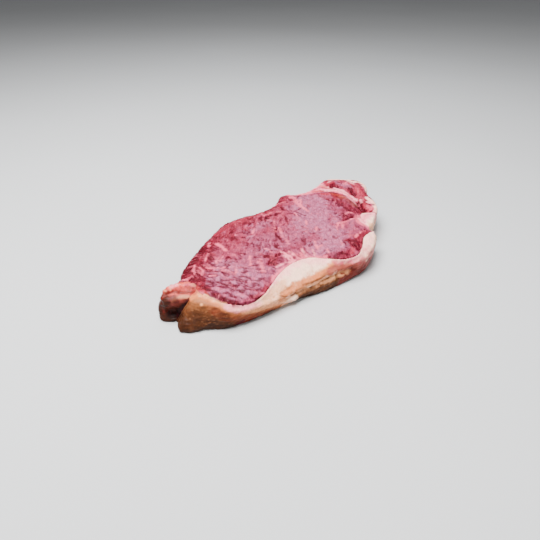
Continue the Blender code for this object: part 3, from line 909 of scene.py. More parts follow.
@dataclass
class EyeMuscle(Piece):
    """The large lean muscle, with its dark edges and pale marbling."""

    node: str = "eye_muscle"
    finish: Finish = Finish("lean_eye", gloss=0.06, roughness=0.46, film=0.03)
    base: Tone = Tone.MAUVE
    creased: float = 0.4

    def __post_init__(self) -> None:
        """Lay out the strokes: broad tones first, then dark places, then marbling."""
        self.strokes = self.broad_tones() + self.dark_places() + self.marbling()
        self.crowds = [
            Crowd(0.66, ((-80, -18), (-66, -22), (-70, -2), (-60, 6)), 12),
            Crowd(0.50, ((-50, -8), (-32, -10), (-22, 10)), 12),
            Crowd(0.45, ((-45, 22), (0, 24), (30, 20), (50, 26)), 7),
            Crowd(0.80, ((-82, 14), (-60, 25), (-35, 32)), 5),
            Crowd(0.15, ((30, -14), (48, -2), (58, 8)), 9),
            Crowd(0.25, ((0, -34), (14, -30)), 7),
            Crowd(0.60, ((44, -26), (60, -22), (68, -12)), 5),
        ]
        self.swells = [Swell(path, 0.5, 1.4, -0.6) for path in self.deep_folds()]
        self.swells += [Swell(path, 0.4, 1.3, 0.3) for path in self.ridges()]

    def deep_folds(self) -> tuple[Path, ...]:
        """The folds that are sunk into the meat."""
        return (
            ((-81.6, 14.3), (-78.2, 13.1), (-74.9, 13.7), (-71.3, 16.2)),
            ((14.3, 26.2), (9, 23.5), (6.6, 21.9), (9.8, 21.2), (16.2, 22.4), (19.8, 20.8), (24, 18.5)),
            ((8, 9.8), (3.2, 7), (-1.6, 3.8), (-4.8, 0.1), (-8.2, -4.7), (-10.2, -7)),
            ((-29.7, -13.4), (-26.5, -14), (-22.5, -13.7)),
            ((-33.2, -15.3), (-36.1, -15.9), (-39.5, -16), (-38.2, -18.2)),
            ((65.6, 0.4), (65.5, -2.8), (67.9, -4.3)),
            ((40.6, -25.9), (42.8, -27.3), (46.9, -27.7), (50.8, -30.6), (57.1, -30)),
            ((16.3, -44.1), (13.5, -48.9), (11.6, -54.2)),
        )

    def ridges(self) -> tuple[Path, ...]:
        """Pale ridges of sinew beside the folds."""
        return (
            ((-66.1, 21.6), (-71.1, 18.6), (-74, 15.3)), ((-67.2, 16.9), (-68.5, 13.2), (-72.5, 11.3)),
            ((-50.8, 23.9), (-58.5, 19.5)), ((-24.8, -3.1), (-23.9, -5.7), (-27.3, -9.2)),
            ((-22.4, -14.9), (-25.4, -21.1), (-27, -26.4), (-28.5, -30.3)),
            ((-21.2, -22.3), (-23.6, -26.8), (-25.9, -31.6)), ((-17.3, -25.6), (-18.8, -29.9)),
            ((32.3, -26.7), (37.7, -28.9), (43.3, -29.8), (48.3, -32.2), (54, -33)),
            ((51, -22.7), (56.7, -23.1), (57.1, -25.8)),
            ((52.4, 16.1), (46, 12.7), (41.7, 7.4), (39, 2)), ((-84, 19), (-81, 15.3), (-77, 14.6)),
        )

    def broad_tones(self) -> Paint:
        """Lilac and rose areas of the cut face, the lilac partly a painted sheen, and the red edges."""
        return strokes(
            (Tone.ROSE, (6, 8, 0.35, 4), ((-60, 12), (-30, 14), (0, 16), (20, 14))),
            (Tone.ROSE, (7, 6, 0.55, 3), ((-35, 25), (0, 28), (30, 22), (50, 26))),
            # Lilac patches: the meat's tint with a painted sheen.
            (Tone.LILAC, (8, 7, 0.75, 3), ((-80, -16), (-66, -20), (-60, 4), (-72, 4))),
            (Tone.LILAC, (6, 6, 0.9, 3), ((-8, -34), (8, -36), (20, -30))),
            (Tone.LILAC, (9, 8, 0.85, 4), ((22, -10), (40, 0), (56, 8))),
            (Tone.LILAC, (4, 5, 0.6, 3), ((-52, -20), (-44, -24))),
            (Tone.LILAC, (6, 7, 0.3, 4), ((-50, -6), (-20, 2), (0, -10))),
            (Tone.CRIMSON, (5, 5, 0.95, 2.5), ((-84, 16), (-70, 22), (-50, 30), (-30, 35))),
            (Tone.CRIMSON, (3, 5, 0.8, 2.5), ((-38, 38), (-5, 42), (9, 37), (24, 30), (40, 29), (55, 33))),
            (Tone.CORAL, (1.6, 3, 0.75, 1.6),
             ((-24, 37), (-10, 37.4), (-3, 36), (4, 33.5), (11, 31.6), (20, 27))),
            (Tone.CRIMSON, (3, 3, 0.9, 1.6), ((-82, 14), (-80, 8), (-81, 0))),
            (Tone.CORAL, (0.6, 1.6, 0.8, 0.8), ((-77.1, 14.1), (-79, 9.7), (-81.5, 3.4))),
            (Tone.CRIMSON, (2.6, 5, 0.7, 2.5), ((44, -27), (54, -24), (64, -22), (68, -14))),
            (Tone.CRIMSON, (0.8, 2.4, 0.6, 1), ((-30, 35), (-20, 36.5), (-12, 37))),
            (Tone.CRIMSON, (1.2, 2.2, 0.85, 0.8), ((72, -22), (66, -28), (61, -31))),
            (Tone.CRIMSON, (1, 2.5, 0.7, 1.2), ((-85, -20), (-80, -25), (-66, -29), (-56, -28))),
            (Tone.CRIMSON, (1.6, 3, 0.8, 1.5), ((-10, -41), (-2, -49), (4, -51))),
            (Tone.CRIMSON, (2.6, 2.6, 1, 1.5), ((16, -44), (13, -49), (14, -54), (20, -48))),
            (Tone.CRIMSON, (2, 1.8, 1, 0.8), ((23, -45.4), (29, -46.7), (35, -47.3))),
            (Tone.DEEP_RED, (1.4, 2.4, 0.7, 1.2), ((16, -45), (13, -49), (14, -52.5), (18, -49))),
            (Tone.CRIMSON, (1.4, 3, 0.85, 1.6), ((-33, -10), (-30, -14), (-38, -17))),
            (Tone.DEEP_RED, (0.6, 1.8, 0.5, 1.4), ((-33, -13), (-31, -16), (-36, -15))),
            (Tone.CORAL, (0.6, 1.4, 0.9, 0.6), ((3.5, -51.5), (6, -51.3), (8, -50))),
            (Tone.CRIMSON, (2.8, 4, 0.85, 2), ((-79, 11), (-73, 13), (-68, 17), (-64, 14))),
            (Tone.DEEP_RED, (1.4, 3.2, 0.45, 1.8), ((-78, 11.5), (-73, 14.6), (-68.6, 18.6))),
            (Tone.CRIMSON, (1, 3.4, 0.65, 1.8), ((-58, 19.5), (-49.8, 21.5))),
            (Tone.CRIMSON, (1, 3, 0.5, 1.6), ((-70, 9.4), (-67.6, 5))),
            (Tone.CRIMSON, (1.6, 3, 0.85, 1.6), ((-25, 24.6), (-18, 31), (-10, 33), (4.6, 30.3))),
            (Tone.CRIMSON, (0.3, 2, 0.6, 1), ((-69.4, -6.6), (-71.2, -10.4), (-72.4, -13.6))),
            (Tone.CRIMSON, (1, 2.4, 0.9, 0.8), ((62.6, -19), (66, -21.5))),
            (Tone.CRIMSON, (0.4, 2.4, 0.5, 1.2), ((-62, -2), (-60, -3.6)), ((-55.6, -23.4), (-52, -25))),
            # More lilac with a painted sheen.
            (Tone.LILAC, (1.4, 3, 0.7, 1.6), ((-27, -3.4), (-23, -6.4)), ((36.6, 17), (40, 13.6))),
            (Tone.LILAC, (1.6, 3.2, 0.7, 1.6), ((36, -22), (42, -22), (47.6, -15))),
            (Tone.LILAC, (1.4, 3.2, 0.7, 1.6), ((-5, -23), (-1.6, -24.6))),
            (Tone.MAUVE, (1, 2.4, 0.8, 1), ((-8, -42.4), (-5.4, -45))),
            (Tone.MAUVE, (1.4, 2.6, 0.8, 1), ((50, -21.6), (54, -23))),
            (Tone.LILAC, (1, 2.4, 0.8, 1), ((-77.8, 0.6), (-78.4, -3), (-79.6, -6))),
            (Tone.LILAC, (1.6, 3.6, 0.6, 2), ((-10.3, 19.7), (-5.5, 18), (0.7, 17.2), (10, 18.6))),
            (Tone.CRIMSON, (0.6, 2.4, 0.55, 1.2), ((-64.4, 14.4), (-62.6, 12.8))),
            (Tone.MAUVE, (0.6, 2.4, 0.7, 1.2), ((-66.4, -5.6), (-65.4, -7.8))),
            (Tone.LILAC, (0.8, 2.6, 0.6, 1.2), ((-25.4, -4), (-24, -5.6))),
            (Tone.LILAC, (0.6, 2.4, 0.6, 1.2), ((-4, 25.4), (-2, 24)), ((59, -12.6), (61, -14.2)),
             ((45.6, -30), (37.2, -34.6), (33, -37))),
            (Tone.LILAC, (0.6, 2.6, 0.6, 1.2), ((-23.4, 6.8), (-22, 5.2)), ((-17, 15.4), (-18, 13.8))),
            (Tone.BLUSH, (0.2, 2, 0.5, 1.2), ((10.6, 20.2), (12.4, 18.4))),
            (Tone.LILAC, (0.4, 2.2, 0.5, 1.2), ((-11.4, 24.4), (-12.6, 22.8))),
            (Tone.LILAC, (0.5, 2.4, 0.7, 1), ((10.6, -42.8), (9.8, -44.4))),
            (Tone.MAUVE, (0.5, 2.4, 0.6, 1.2), ((48, 17.4), (49.4, 15.8))),
            (Tone.MAUVE, (0.5, 2.2, 0.6, 1), ((-12.2, -24.4), (-13.6, -25.6)),
             ((-77.4, -19), (-78.6, -20.4))),
            (Tone.CRIMSON, (0.4, 2.2, 0.5, 1.2), ((-57.4, 19), (-59, 17.2))),
        )

    def dark_places(self) -> Paint:
        """Deep red folds, short creases and the browned strip beside the seam; the deep red in the folds,
        creases, seam and back edge is partly painted shade.
        """
        return strokes(
            # A deep red band on the back-left edge: the meat's red and painted shade.
            (Tone.DEEP_RED, (2.3, 2.6, 0.95, 1.2), ((-86, 17), (-66, 25.6), (-45, 33.4))),
            # A dark line along the seam with the fat: deep red and painted shade.
            (Tone.DEEP_RED, (1.5, 2, 0.95, 0.5),
             ((-84.2, -9), (-84.9, -12.3), (-85.2, -15.4), (-83.8, -20), (-82.2, -21.8))),
            (Tone.CORAL, (0.8, 1.4, 0.7, 0.6), ((-77, -25), (-72, -27), (-66, -28.4), (-60, -28))),
            (Tone.MAUVE, (1.1, 1.8, 0.85, 0.6), ((-79, -24.4), (-74.8, -25.9), (-70, -27.2), (-66, -28))),
            # Deep red in the sunk folds and short creases: the meat's red and painted shade.
            (Tone.DEEP_RED, (0.5, 1.5, 0.95, 1), *self.deep_folds(), ((-33.8, -9.6), (-31.5, -10.7)),
             ((-77.6, 22.9), (-68.8, 25.9), (-59.6, 29.1), (-53, 30)), ((33.2, 21.4), (30.6, 17.7)),
             ((-83.6, 5.1), (-82.9, 1.8), (-83.4, -2.1)), ((52.4, -20.3), (48.8, -23.9)),
             ((62.1, -16.8), (59.3, -20.8)), ((65.3, -24.2), (60, -26))),
            (Tone.DEEP_RED, (0.4, 1, 0.8, 0.5),
             ((-67.9, 11), (-66.3, 9.6), (-65.3, 5.9), (-63, 3.3), (-64, -0.1), (-63.6, -2.8)),
             ((-58.6, 14), (-58, 11.7)), ((-55.4, 20.2), (-52.3, 19.9)), ((-51.2, -2.7), (-50.8, -6.4)),
             ((-64.5, -9), (-64.1, -12.6), (-61.4, -14.4)), ((-69.6, -8.2), (-70, -11), (-70.5, -13.9)),
             ((-73.1, -2.8), (-72.7, -5.5), (-72.2, -8)), ((-77.7, -4.7), (-76.6, -6)),
             ((-80.5, -12.3), (-78.9, -14.4)), ((-79, -15.6), (-78.3, -18.8)),
             ((-67.6, -21.6), (-66.3, -24.4), (-62.3, -25.7)), ((-72.6, -16.2), (-70.3, -19.1)),
             ((-76.4, 1.8), (-75.9, 0.1)), ((-58.9, 3.3), (-58.3, 1.2)), ((-56, -7.1), (-55.1, -8.6)),
             ((-38.1, 6.8), (-37.6, 4.4)), ((-32.2, -4.4), (-32.8, -7)), ((-57, -20.5), (-55.5, -22.4)),
             ((-71, -26.4), (-68.4, -27.8)), ((23.4, 12.7), (19.7, 8.4), (12.5, 3)),
             ((-17.3, -4.9), (-19.6, -8.7)), ((-13.8, -4.9), (-16.5, -8)), ((5.6, 30.8), (9.1, 30.7)),
             ((-17.5, 8.2), (-18.2, 6.4)), ((-23.2, 9), (-23.5, 7.3)), ((-46.7, 11.2), (-47.7, 7.2)),
             ((-9.5, -40.1), (-9.1, -42.5)), ((-12.6, -38.4), (-11.8, -40.4)),
             ((32.7, 7.4), (32.4, 4.5), (32.4, 0.7)),
             ((-5.4, -44.7), (-2.2, -46.2), (-0.5, -48.6), (0.4, -50.1)),
             ((27.9, 12.1), (29.4, 9.6), (28.3, 6.6)), ((10.4, -42.3), (11, -42)),
             ((7.7, -30.1), (8.1, -29.6)), ((-4.2, 1.9), (-10.5, -2.5), (-14.9, -3.8), (-19.2, -8.7))),
            (Tone.CRIMSON, (0.2, 1, 0.65, 0.5), ((-9.1, 26.7), (-10.1, 21.6), (-3.7, 20.7), (1.1, 22.6)),
             ((-30.7, 29.1), (-30.4, 20.7), (-26.8, 15.8)), ((5.1, 15.5), (-4, 8.9)),
             ((-14.2, -14.6), (-14.9, -18.5), (-9.7, -20.2), (-4.6, -19)),
             ((11.7, -35), (15.9, -35.2), (19.9, -36.8), (24.4, -37.3), (23.8, -42.1)),
             ((56.6, -2.6), (56.9, -5.1), (60, -7.7)), ((-14.1, -26.9), (-14.5, -29.5), (-14.9, -31.4)),
             ((-19.6, -26.5), (-16.1, -25.4), (-12.3, -25.1)),
             ((-11.9, -21.9), (-8.3, -21.8), (-3.6, -20.4)), ((9.1, -11.2), (10.4, -12.2), (13, -12.8)),
             ((13.1, -8.8), (15.3, -9.7), (14.6, -11.9)), ((15.7, -15.2), (20.1, -16.2), (20, -19.5)),
             ((49.4, 8.4), (47, 5.1))),
            (Tone.CORAL, (1.6, 2.6, 0.9, 1.2), ((72, 8), (76, 3), (79, -3))),
            (Tone.SALMON, (1.6, 2.4, 0.95, 1), ((77, 1), (78.6, -3), (76, -7))),
            (Tone.FLESH, (1.6, 2.4, 0.5, 1), ((77.4, -7.5), (74, -13), (71.5, -19))),
            (Tone.MAUVE, (0.6, 2.2, 0.6, 0.8), ((73, -11), (70, -17))),
            (Tone.PALE_PINK, (0.2, 1.3, 0.6, 0.5), ((80.6, -9.4), (76.6, -17.4), (73.4, -22))),
            (Tone.BROWN, (0.6, 1.8, 0.6, 0.6), ((74.4, -16), (72.4, -22))),
            (Tone.CRIMSON, (0.7, 1.8, 0.7, 0.6), ((73, 0), (74, -4))),
            (Tone.DEEP_RED, (1, 3, 0.32, 1.2), ((72, -16.6), (68.4, -19))),
            (Tone.CRIMSON, (0.6, 2.2, 0.4, 0.8), ((74.8, -7.4), (73.4, -12.6))),
            (Tone.ROSE, (0.6, 2, 0.8, 0.8), ((60.8, -26.8), (60, -28))),
            (Tone.CRIMSON, (0.5, 1.6, 0.7, 0.8), ((67, 8), (66.5, 1), (70, -5), (69, -12))),
            (Tone.CORAL, (0.6, 1, 0.9, 0.4), ((72.5, -1.8), (72.1, -4.5))),
            (Tone.DEEP_RED, (0.6, 1.8, 0.6, 0.6), ((73.4, -20.6), (71.6, -23.4))),
            (Tone.CRIMSON, (0.5, 2, 0.5, 0.6), ((76, -14.6), (75, -16.8))),
            (Tone.ROSE, (0.4, 1.8, 0.8, 0.5), ((33.8, -45), (32.8, -46.2))),
            (Tone.ORANGE, (7, 1.5, 1, 0.3), ((-86, -27, 0), (-70, -32, 0), (-56, -35.5, 0), (-46, -39, 0))),
        )

    def marbling(self) -> Paint:
        """Pale threads and flecks of fat in the lean."""
        fan = (
            ((-21.5, -13.2), (-25, -20.5), (-26.5, -25.5), (-26.8, -29.3)),
            ((-20.3, -18.8), (-22.3, -23), (-22.7, -29.5)), ((-12.6, -23.8), (-17, -28.1), (-18.5, -33.1)),
            ((-38.7, -21.7), (-31.4, -23.6), (-28, -28)), ((-25.4, -18), (-29.4, -27.4)),
            ((-9, -30), (-13.6, -33.5), (-15, -36)),
        )
        return strokes(
            (Tone.BLUSH, (0.3, 1.1, 0.8, 0.7), *self.ridges()),
            (Tone.BLUSH, (0.25, 1, 0.75, 0.7), ((-63.8, 13.4), (-61.6, 8.9), (-58.7, 4.4)),
             ((-53.9, 15), (-57.1, 11.1)), ((-61.8, 4.2), (-61.5, 0.1), (-59.9, -2.2)),
             ((-70.8, 6), (-69.1, 3.8)), ((-38.4, -0.8), (-46.3, -6.7)),
             ((33.3, -26.4), (28.3, -27.7), (21.9, -32)), ((1.1, -25.2), (-2.8, -28.8), (-5.6, -31.1)),
             ((0.5, -31.3), (-3.6, -30.6)), ((-2.8, -36.5), (-5.8, -39.7)),
             ((22.3, -44.6), (28.1, -44.2), (35.4, -45.6)), ((24.7, -4.8), (19.9, -8)),
             ((-20.1, 24.5), (-19, 25.5)), ((28, 4), (31, 9)), ((-52, 13), (-46, 15)),
             ((-12, 16), (-6, 19)), ((16, -18), (22, -15)), ((-58, -4), (-54, -1)), ((30, 30), (38, 29)),
             ((38, 30), (44, 25)), ((-42, 30), (-38, 33)), ((30, -31), (36, -28))),
            (Tone.BLUSH, (0.3, 1.8, 0.65, 1.2), ((-38.9, -8.6), (-45.5, -14.5), (-49.5, -17.8))),
            (Tone.BLUSH, (0.5, 1.5, 0.85, 0.8), ((-40, 18), (-38, 23), (-37, 28))),
            (Tone.BLUSH, (0.5, 2.2, 0.85, 1.6),
             ((-52, -27), (-40, -25.5), (-30, -26.2), (-21.7, -29.2), (-16.8, -32.5), (-11.7, -40.4))),
            (Tone.BLUSH, (1.2, 3, 0.2, 1.4), ((-21.5, -17), (-25, -26))),
            (Tone.BLUSH, (0.4, 1.6, 0.45, 0.9), *fan),
            (Tone.PALE_PINK, (0, 1.1, 0.5, 0.8), *fan),
            (Tone.BLUSH, (0.2, 1.4, 0.6, 1.3),
             ((9.4, 8.2), (2.6, 3.2), (-2.6, -2), (-6.6, -7.6), (-11, -12)),
             ((17, 28.6), (14.6, 25), (22.6, 23.6), (27, 18.6)), ((12, 14), (6, 9.6))),
            (Tone.BLUSH, (0.6, 1.8, 0.75, 1.4), ((60, 34), (55, 27), (50, 20), (43, 11))),
            (Tone.BLUSH, (1.7, 1.6, 0.8, 0.9), ((56, -31), (48, -34.5), (44, -39), (43, -44.5))),
            (Tone.PALE_PINK, (1, 1.8, 0.9, 0.6), ((50, -35.5), (46.5, -40), (45, -45))),
            (Tone.SALMON, (1.4, 1.2, 0.95, 0.4), ((-84.4, 6.4), (-86.2, 1.6), (-87.6, -4))),
            (Tone.ROSE, (0.4, 1.4, 0.6, 0.4), ((-85.4, 1.6), (-86.2, -1.4))),
            (Tone.BLUSH, (0.4, 1.8, 0.5, 0.8), ((-21, -24.6), (-22, -26.4))),
            (Tone.BLUSH, (0.2, 1.2, 0.5, 0.5), ((-70, -26.4), (-66, -27.6))),
            (Tone.IVORY, (0.9, 0.8, 0.8, 0.3), ((-88.2, -4), (-88.6, -11), (-88.2, -15), (-86.8, -18))),
            (Tone.PALE_PINK, (0.1, 0.8, 0.25, 0.3), ((-83, 10), (-86.2, 3), (-87.4, -4))),
        )


@dataclass
class FatCap(Piece):
    """The fat along the front: cream where cut, tan to brown on its outer side, darker downwards partly as
    painted shade.
    """

    node: str = "fat_cap"
    finish: Finish = Finish("fat_outer", gloss=0.07, roughness=0.42, film=0.04, glow=0.15)
    base: Tone = Tone.CREAM
    voxel: float = 0.5
    rounds: int = 10
    corner: Crowd = Crowd(1.0, ((-103, 0), (-98, -6)), 4.0, 7.0)
    corner_rounds: int = 50
    least_share: float = 0.01

    def __post_init__(self) -> None:
        """Lay out the layers down the outer side, then the strokes on them."""
        self.beaded = [Crowd(1.0, ((-97, -6, 9), (-94, -14, 8), (-90, -20, 7)), 3.5, 4.0),
                       Crowd(0.8, ((-30, -47, 5), (-14, -52, 6), (-4, -57, 8)), 1.5, 3.0)]
        self.strokes = self.layers() + self.left_corner() + self.front() + self.right_band()
        self.swells = [Swell(((-103, 0, 3), (-100.5, -5, 3)), 2.0, 4.5, 0.9)]

    def remesh(self, piece: bpy.types.Object) -> None:
        """Give the fat its even mesh, then round off the corner beside the tail."""
        super().remesh(piece)
        group = piece.vertex_groups.new(name="corner")
        shares = crowded(read_places(piece), 0.0, [self.corner])
        for index in np.flatnonzero(shares > self.least_share):
            group.add([int(index)], float(shares[index]), "REPLACE")
        ease(piece, self.corner_rounds, group.name)

    def layers(self) -> Paint:
        """The outer side's colours, from the cut rim down to the base, darker downwards: the fat's own
        browning and painted shade.
        """
        rim = ((-106, 19.5), (-92.4, 19.5), (-90.6, 16.8), (-89.6, 15.4), (-88.6, 13.8), (-87.5, 12),
               (-83, 9.8), (-77, 8.2), (-72, 6.9), (-66.8, 6.3), (-60, 4.6), (-55, 3), (-52, -6))
        peach_rim = tuple((x, z + 1.8) for x, z in rim)
        return [
            Layer(Tone.IVORY, ((-92, -6), (-90, 18.5), (-84, 15), (-66, 11.5), (-56, 8.5), (-46, 6)),
             4, 0.8, 1.2),
            Layer(Tone.PEACH, peach_rim, 2.6, 0.75, 0.8),
            Layer(Tone.TAN, rim, 1.8, 0.95, 0.8),
            Layer(Tone.BROWN, ((-106, 14), (-94, 13.5), (-90, 11), (-84, 5.5), (-60, 2), (-54, -6)),
             6, 0.9, 1.6),
            Layer(Tone.UMBER, ((-106, 8.5), (-94, 7.5), (-86, 4), (-60, 1), (-54, -6)), 5, 0.85, 1.2),
            Layer(Tone.TAN, ((-47, -6), (-44.5, 7), (-36, 7.2), (-24, 8.2), (-14, 8.8), (-11, -6)),
             1.8, 0.95, 0.8),
            Layer(Tone.BROWN,
             ((-47, -6), (-44, 5.2), (-31, 5.8), (-26, 8.8), (-18, 9.4), (-14, 8.2), (-8, -6)),
             2.2, 0.95, 1),
            Layer(Tone.UMBER, ((-48, -6), (-44, 2.8), (-16, 3.2), (0, 1.4), (10, -6)), 2.8, 0.85, 1),
            Layer(Tone.FLESH,
             ((-15, -6), (-12.5, 13.4), (-6, 13.8), (0, 13), (5, 11), (15, 9.4), (30, 8.5), (44, 8)),
             2.2, 1, 0.9),
            Layer(Tone.RUST, ((-17, -6), (-13, 11.6), (-4, 10), (4, 6), (14, 2), (22, -4)), 3.6, 0.85, 1.4),
        ]

    def left_corner(self) -> Paint:
        """The corner beside the tail: an orange flush under the rim, and the pale band below it."""
        return strokes(
            (Tone.ORANGE, (1.2, 3, 0.58, 1.2), ((-92, -12, 13.5), (-90.8, -17, 11), (-88.8, -21, 8.4),
             (-82, -26, 5.2), (-74, -29.5, 3.8), (-64, -33, 2))),
            (Tone.BROWN, (0.8, 2.4, 0.55, 0.8), ((-91.6, -17.6, 10.2), (-88.6, -21.4, 8.4))),
            # A dark line along the seam with the lean: deep red and painted shade.
            (Tone.DEEP_RED, (0.9, 0.9, 0.95, 0.3),
             ((-85.6, -15), (-84.8, -19.5), (-82.8, -22.5), (-80, -24.6))),
            (Tone.PEACH, (0.8, 2.4, 0.5, 0.8), ((-92, 1, 17), (-90.5, -6, 17.2), (-89.5, -13, 16.4),
             (-88, -19, 14.6), (-85.5, -23, 12.6))),
            (Tone.PEACH, (1.4, 1.8, 0.85, 0.4),
             ((-93.5, 2, 15.5), (-91, 1.5, 17), (-87, 2.5, 17), (-87.6, -2, 17))),
            (Tone.SALMON, (1, 2.2, 0.7, 0.5), ((-88.8, 3.4, 17), (-86.6, 3, 17))),
            (Tone.MAUVE, (0.5, 1.1, 0.8, 0.4),
             ((-80.4, -24.4, 13.8), (-77.2, -26, 13.8), (-73.7, -27.5, 13.6))),
            # Browns and umbers low on the corner and on its face by the tail: darker downwards and towards
            # the tail, partly painted shade.
            (Tone.BROWN, (1.2, 3.4, 0.8, 0.9), ((-97.8, -1, 12.4), (-96.8, -5, 11.8), (-95.6, -9, 10.6))),
            (Tone.UMBER, (0.8, 3, 0.4, 0.8), ((-98.6, -1, 11.6), (-99.2, -4, 9.6), (-97.6, -6.4, 9.6))),
            (Tone.UMBER, (0.5, 1.8, 0.5, 0.6), ((-95, 1.8, 13.4), (-95.4, 0.6, 12))),
            (Tone.BROWN, (1, 2.6, 0.5, 0.9), ((-97, -9.6, 5.2), (-99.4, -7.4, 3.8), (-101.4, -5.4, 2.8))),
            (Tone.PEACH, (0.5, 2, 0.55, 0.7), ((-87, -22.4, 10.4), (-84, -24.6, 10.6), (-80, -26.8, 10.6))),
            (Tone.PALE_PINK, (1.2, 2.2, 0.85, 0.6),
             ((-87, -20, 15), (-84, -24, 12.8), (-78, -27.5, 12), (-70, -30.5, 12.5))),
            (Tone.CREAM, (0.4, 1.6, 0.6, 0.6), ((-85, -23.6, 13), (-79, -27.2, 12.6))),
            # A dark line along the seam with the lean: deep red and painted shade.
            (Tone.DEEP_RED, (0.3, 0.9, 0.7, 0.3), ((-84, -21, 14), (-82, -22.8, 13.8), (-79, -24.6, 13.8))),
            (Tone.CREAM, (1, 2.4, 0.75, 0.6), ((-70, -28.6, 13.2), (-65.6, -30, 12.6))),
            (Tone.IVORY, (0.8, 1.4, 0.5, 0.8), ((-80, -27.5, 9.6), (-70, -31, 8.2), (-60, -34, 6.4))),
            (Tone.TAN, (1.4, 2.6, 0.5, 0.8), ((-97, 0, 14), (-94.2, -4, 14.4), (-91.6, -10, 13.6))),
            # A painted glint on the corner.
            (Tone.IVORY, (0.1, 1, 0.9, 0.3), ((-94.3, -6.3, 15.2), (-94.1, -6.5, 15.3))),
        )

    def front(self) -> Paint:
        """The middle: the pink upper edge, the creases under the lip, the nub and the fibres below, with
        browns in the creases and low down partly painted shade.
        """
        return strokes(
            (Tone.PALE_PINK, (1.4, 4, 0.6, 1.8),
             ((-52, -28, 17), (-38, -27, 17), (-24, -30, 17), (-14, -42, 17))),
            (Tone.IVORY, (1.6, 3, 0.8, 1.2),
             ((-56, -35, 10.5), (-44, -38.5, 11), (-30, -43.5, 11.6), (-16, -46.5, 13))),
            (Tone.PEACH, (0.8, 4.4, 0.85, 2), ((-54, -36, 9.4), (-48, -36.8, 10.6), (-44, -38, 11.2),
             (-38, -40, 11.4), (-28, -43.5, 11.6))),
            (Tone.PEACH, (1.2, 2.8, 0.9, 0.8), ((-28, -43.6, 11.6), (-19, -46, 12.4), (-12, -47.2, 14.2))),
            (Tone.IVORY, (0.3, 1, 0.6, 0.7),
             ((-41, -39.8, 8.6), (-32, -43.4, 8.6), (-24, -46.3, 9), (-15, -48.4, 9.4)),
             ((-38, -41, 5.6), (-28, -46, 5.8)), ((-32, -45, 7.4), (-26, -46.6, 7.5)),
             ((-25, -47.8, 4.6), (-17, -50, 5.4)), ((-14, -50, 6.2), (-9, -53, 6.8))),
            (Tone.TAN, (0.15, 0.9, 0.6, 0.6),
             ((-48, -37, 11.6), (-38, -39.8, 12.4), (-28, -43, 13), (-14, -46.4, 14.6)),
             ((-54, -35.4, 9.6), (-47, -38, 9.2), (-39, -41, 8.8)),
             ((-66, -30.6, 12.6), (-57, -32.4, 12.4), (-48, -34.6, 13)),
             ((-60, -32.2, 10.6), (-52, -34.4, 11), (-46, -36, 12))),
            (Tone.IVORY, (1.4, 3.2, 0.6, 1.2), ((-66, -30.5, 13), (-56, -31.5, 13.6), (-48, -32.5, 15))),
            (Tone.PALE_PINK, (0.6, 1.6, 0.7, 0.6),
             ((-72, -28.4, 14), (-62, -29.6, 14.6), (-52, -28.6, 16.4))),
            # Brown lines in the creases under the lip: partly painted shade.
            (Tone.BROWN, (0.25, 0.9, 0.85, 0.4), ((-56, -34.8, 10.2), (-54.5, -36.2, 9.2),
             (-49.5, -37, 7.2), (-41, -39.8, 7), (-33, -43, 6.9))),
            (Tone.BROWN, (0.25, 0.9, 0.75, 0.4),
             ((-39, -40.5, 10.6), (-31, -44, 10.2), (-24, -46, 10.8), (-18, -46.8, 11.6))),
            (Tone.IVORY, (1.2, 1.8, 0.7, 1), ((-11, -50.5, 9), (-7.5, -53, 9.8), (-6, -54.4, 8.4))),
            (Tone.FLESH, (1.2, 2.6, 0.9, 0.9),
             ((-20, -46.9, 11.4), (-14, -48.4, 12), (-10.4, -50.2, 11.8), (-7, -53, 11))),
            (Tone.FLESH, (0.6, 2.4, 0.4, 0.9), ((8, -57.6, 14), (14, -57.6, 14.4), (20, -56.6, 14.6))),
            (Tone.IVORY, (0.4, 1.6, 0.5, 0.7), ((-43, -39.6, 6.8), (-36, -42.6, 6.4))),
            (Tone.RUST, (0.6, 2.4, 0.3, 0.9), ((-12, -49.4, 12), (-7, -53, 11.2), (-2, -56.4, 10))),
            (Tone.CREAM, (1.5, 1, 1, 0.4), ((-51, -37, 3.6), (-47, -39.3, 4.6), (-46, -40, 4.6))),
            # Browns low on the side: darker towards the base, partly painted shade.
            (Tone.BROWN, (1, 2.4, 0.85, 0.8), ((-27, -47.4, 4), (-22, -49, 4.4), (-15, -50.6, 4.6))),
            (Tone.BROWN, (0.7, 1.6, 0.75, 0.6),
             ((-37, -42.6, 5.2), (-35, -43.4, 5.4), (-32.4, -44.6, 5.6))),
            (Tone.IVORY, (0.3, 1.4, 0.75, 0.6),
             ((-18.8, -48.3, 7.8), (-17, -49, 7.4), (-15.8, -49.6, 7.8))),
            (Tone.TAN, (0.4, 1.6, 0.6, 0.5), ((-24.2, -45.4, 11.2), (-20.4, -46.5, 11.6))),
            (Tone.FLESH, (0.4, 1.8, 0.6, 0.6), ((-13.8, -47.5, 12.8), (-11.2, -48.4, 13))),
            (Tone.IVORY, (0.2, 1.2, 0.5, 0.5), ((-38, -41, 7.2), (-35.4, -42, 7))),
            (Tone.TAN, (0.4, 1.6, 0.4, 0.5), ((-44.4, -38.8, 10.4), (-40.8, -40, 10.4))),
            (Tone.PEACH, (0.4, 1.8, 0.5, 0.5), ((-23, -43.6, 12.4), (-20, -44.6, 12.4))),
            (Tone.IVORY, (0.3, 1.7, 0.5, 0.9), ((-26.4, -46, 6.8), (-21, -48, 7.2), (-16.8, -50, 6.6))),
            (Tone.IVORY, (0.3, 1.3, 0.6, 0.5), ((-36, -42.6, 8.2), (-30, -45, 8.2), (-25, -46.4, 8.8))),
        )

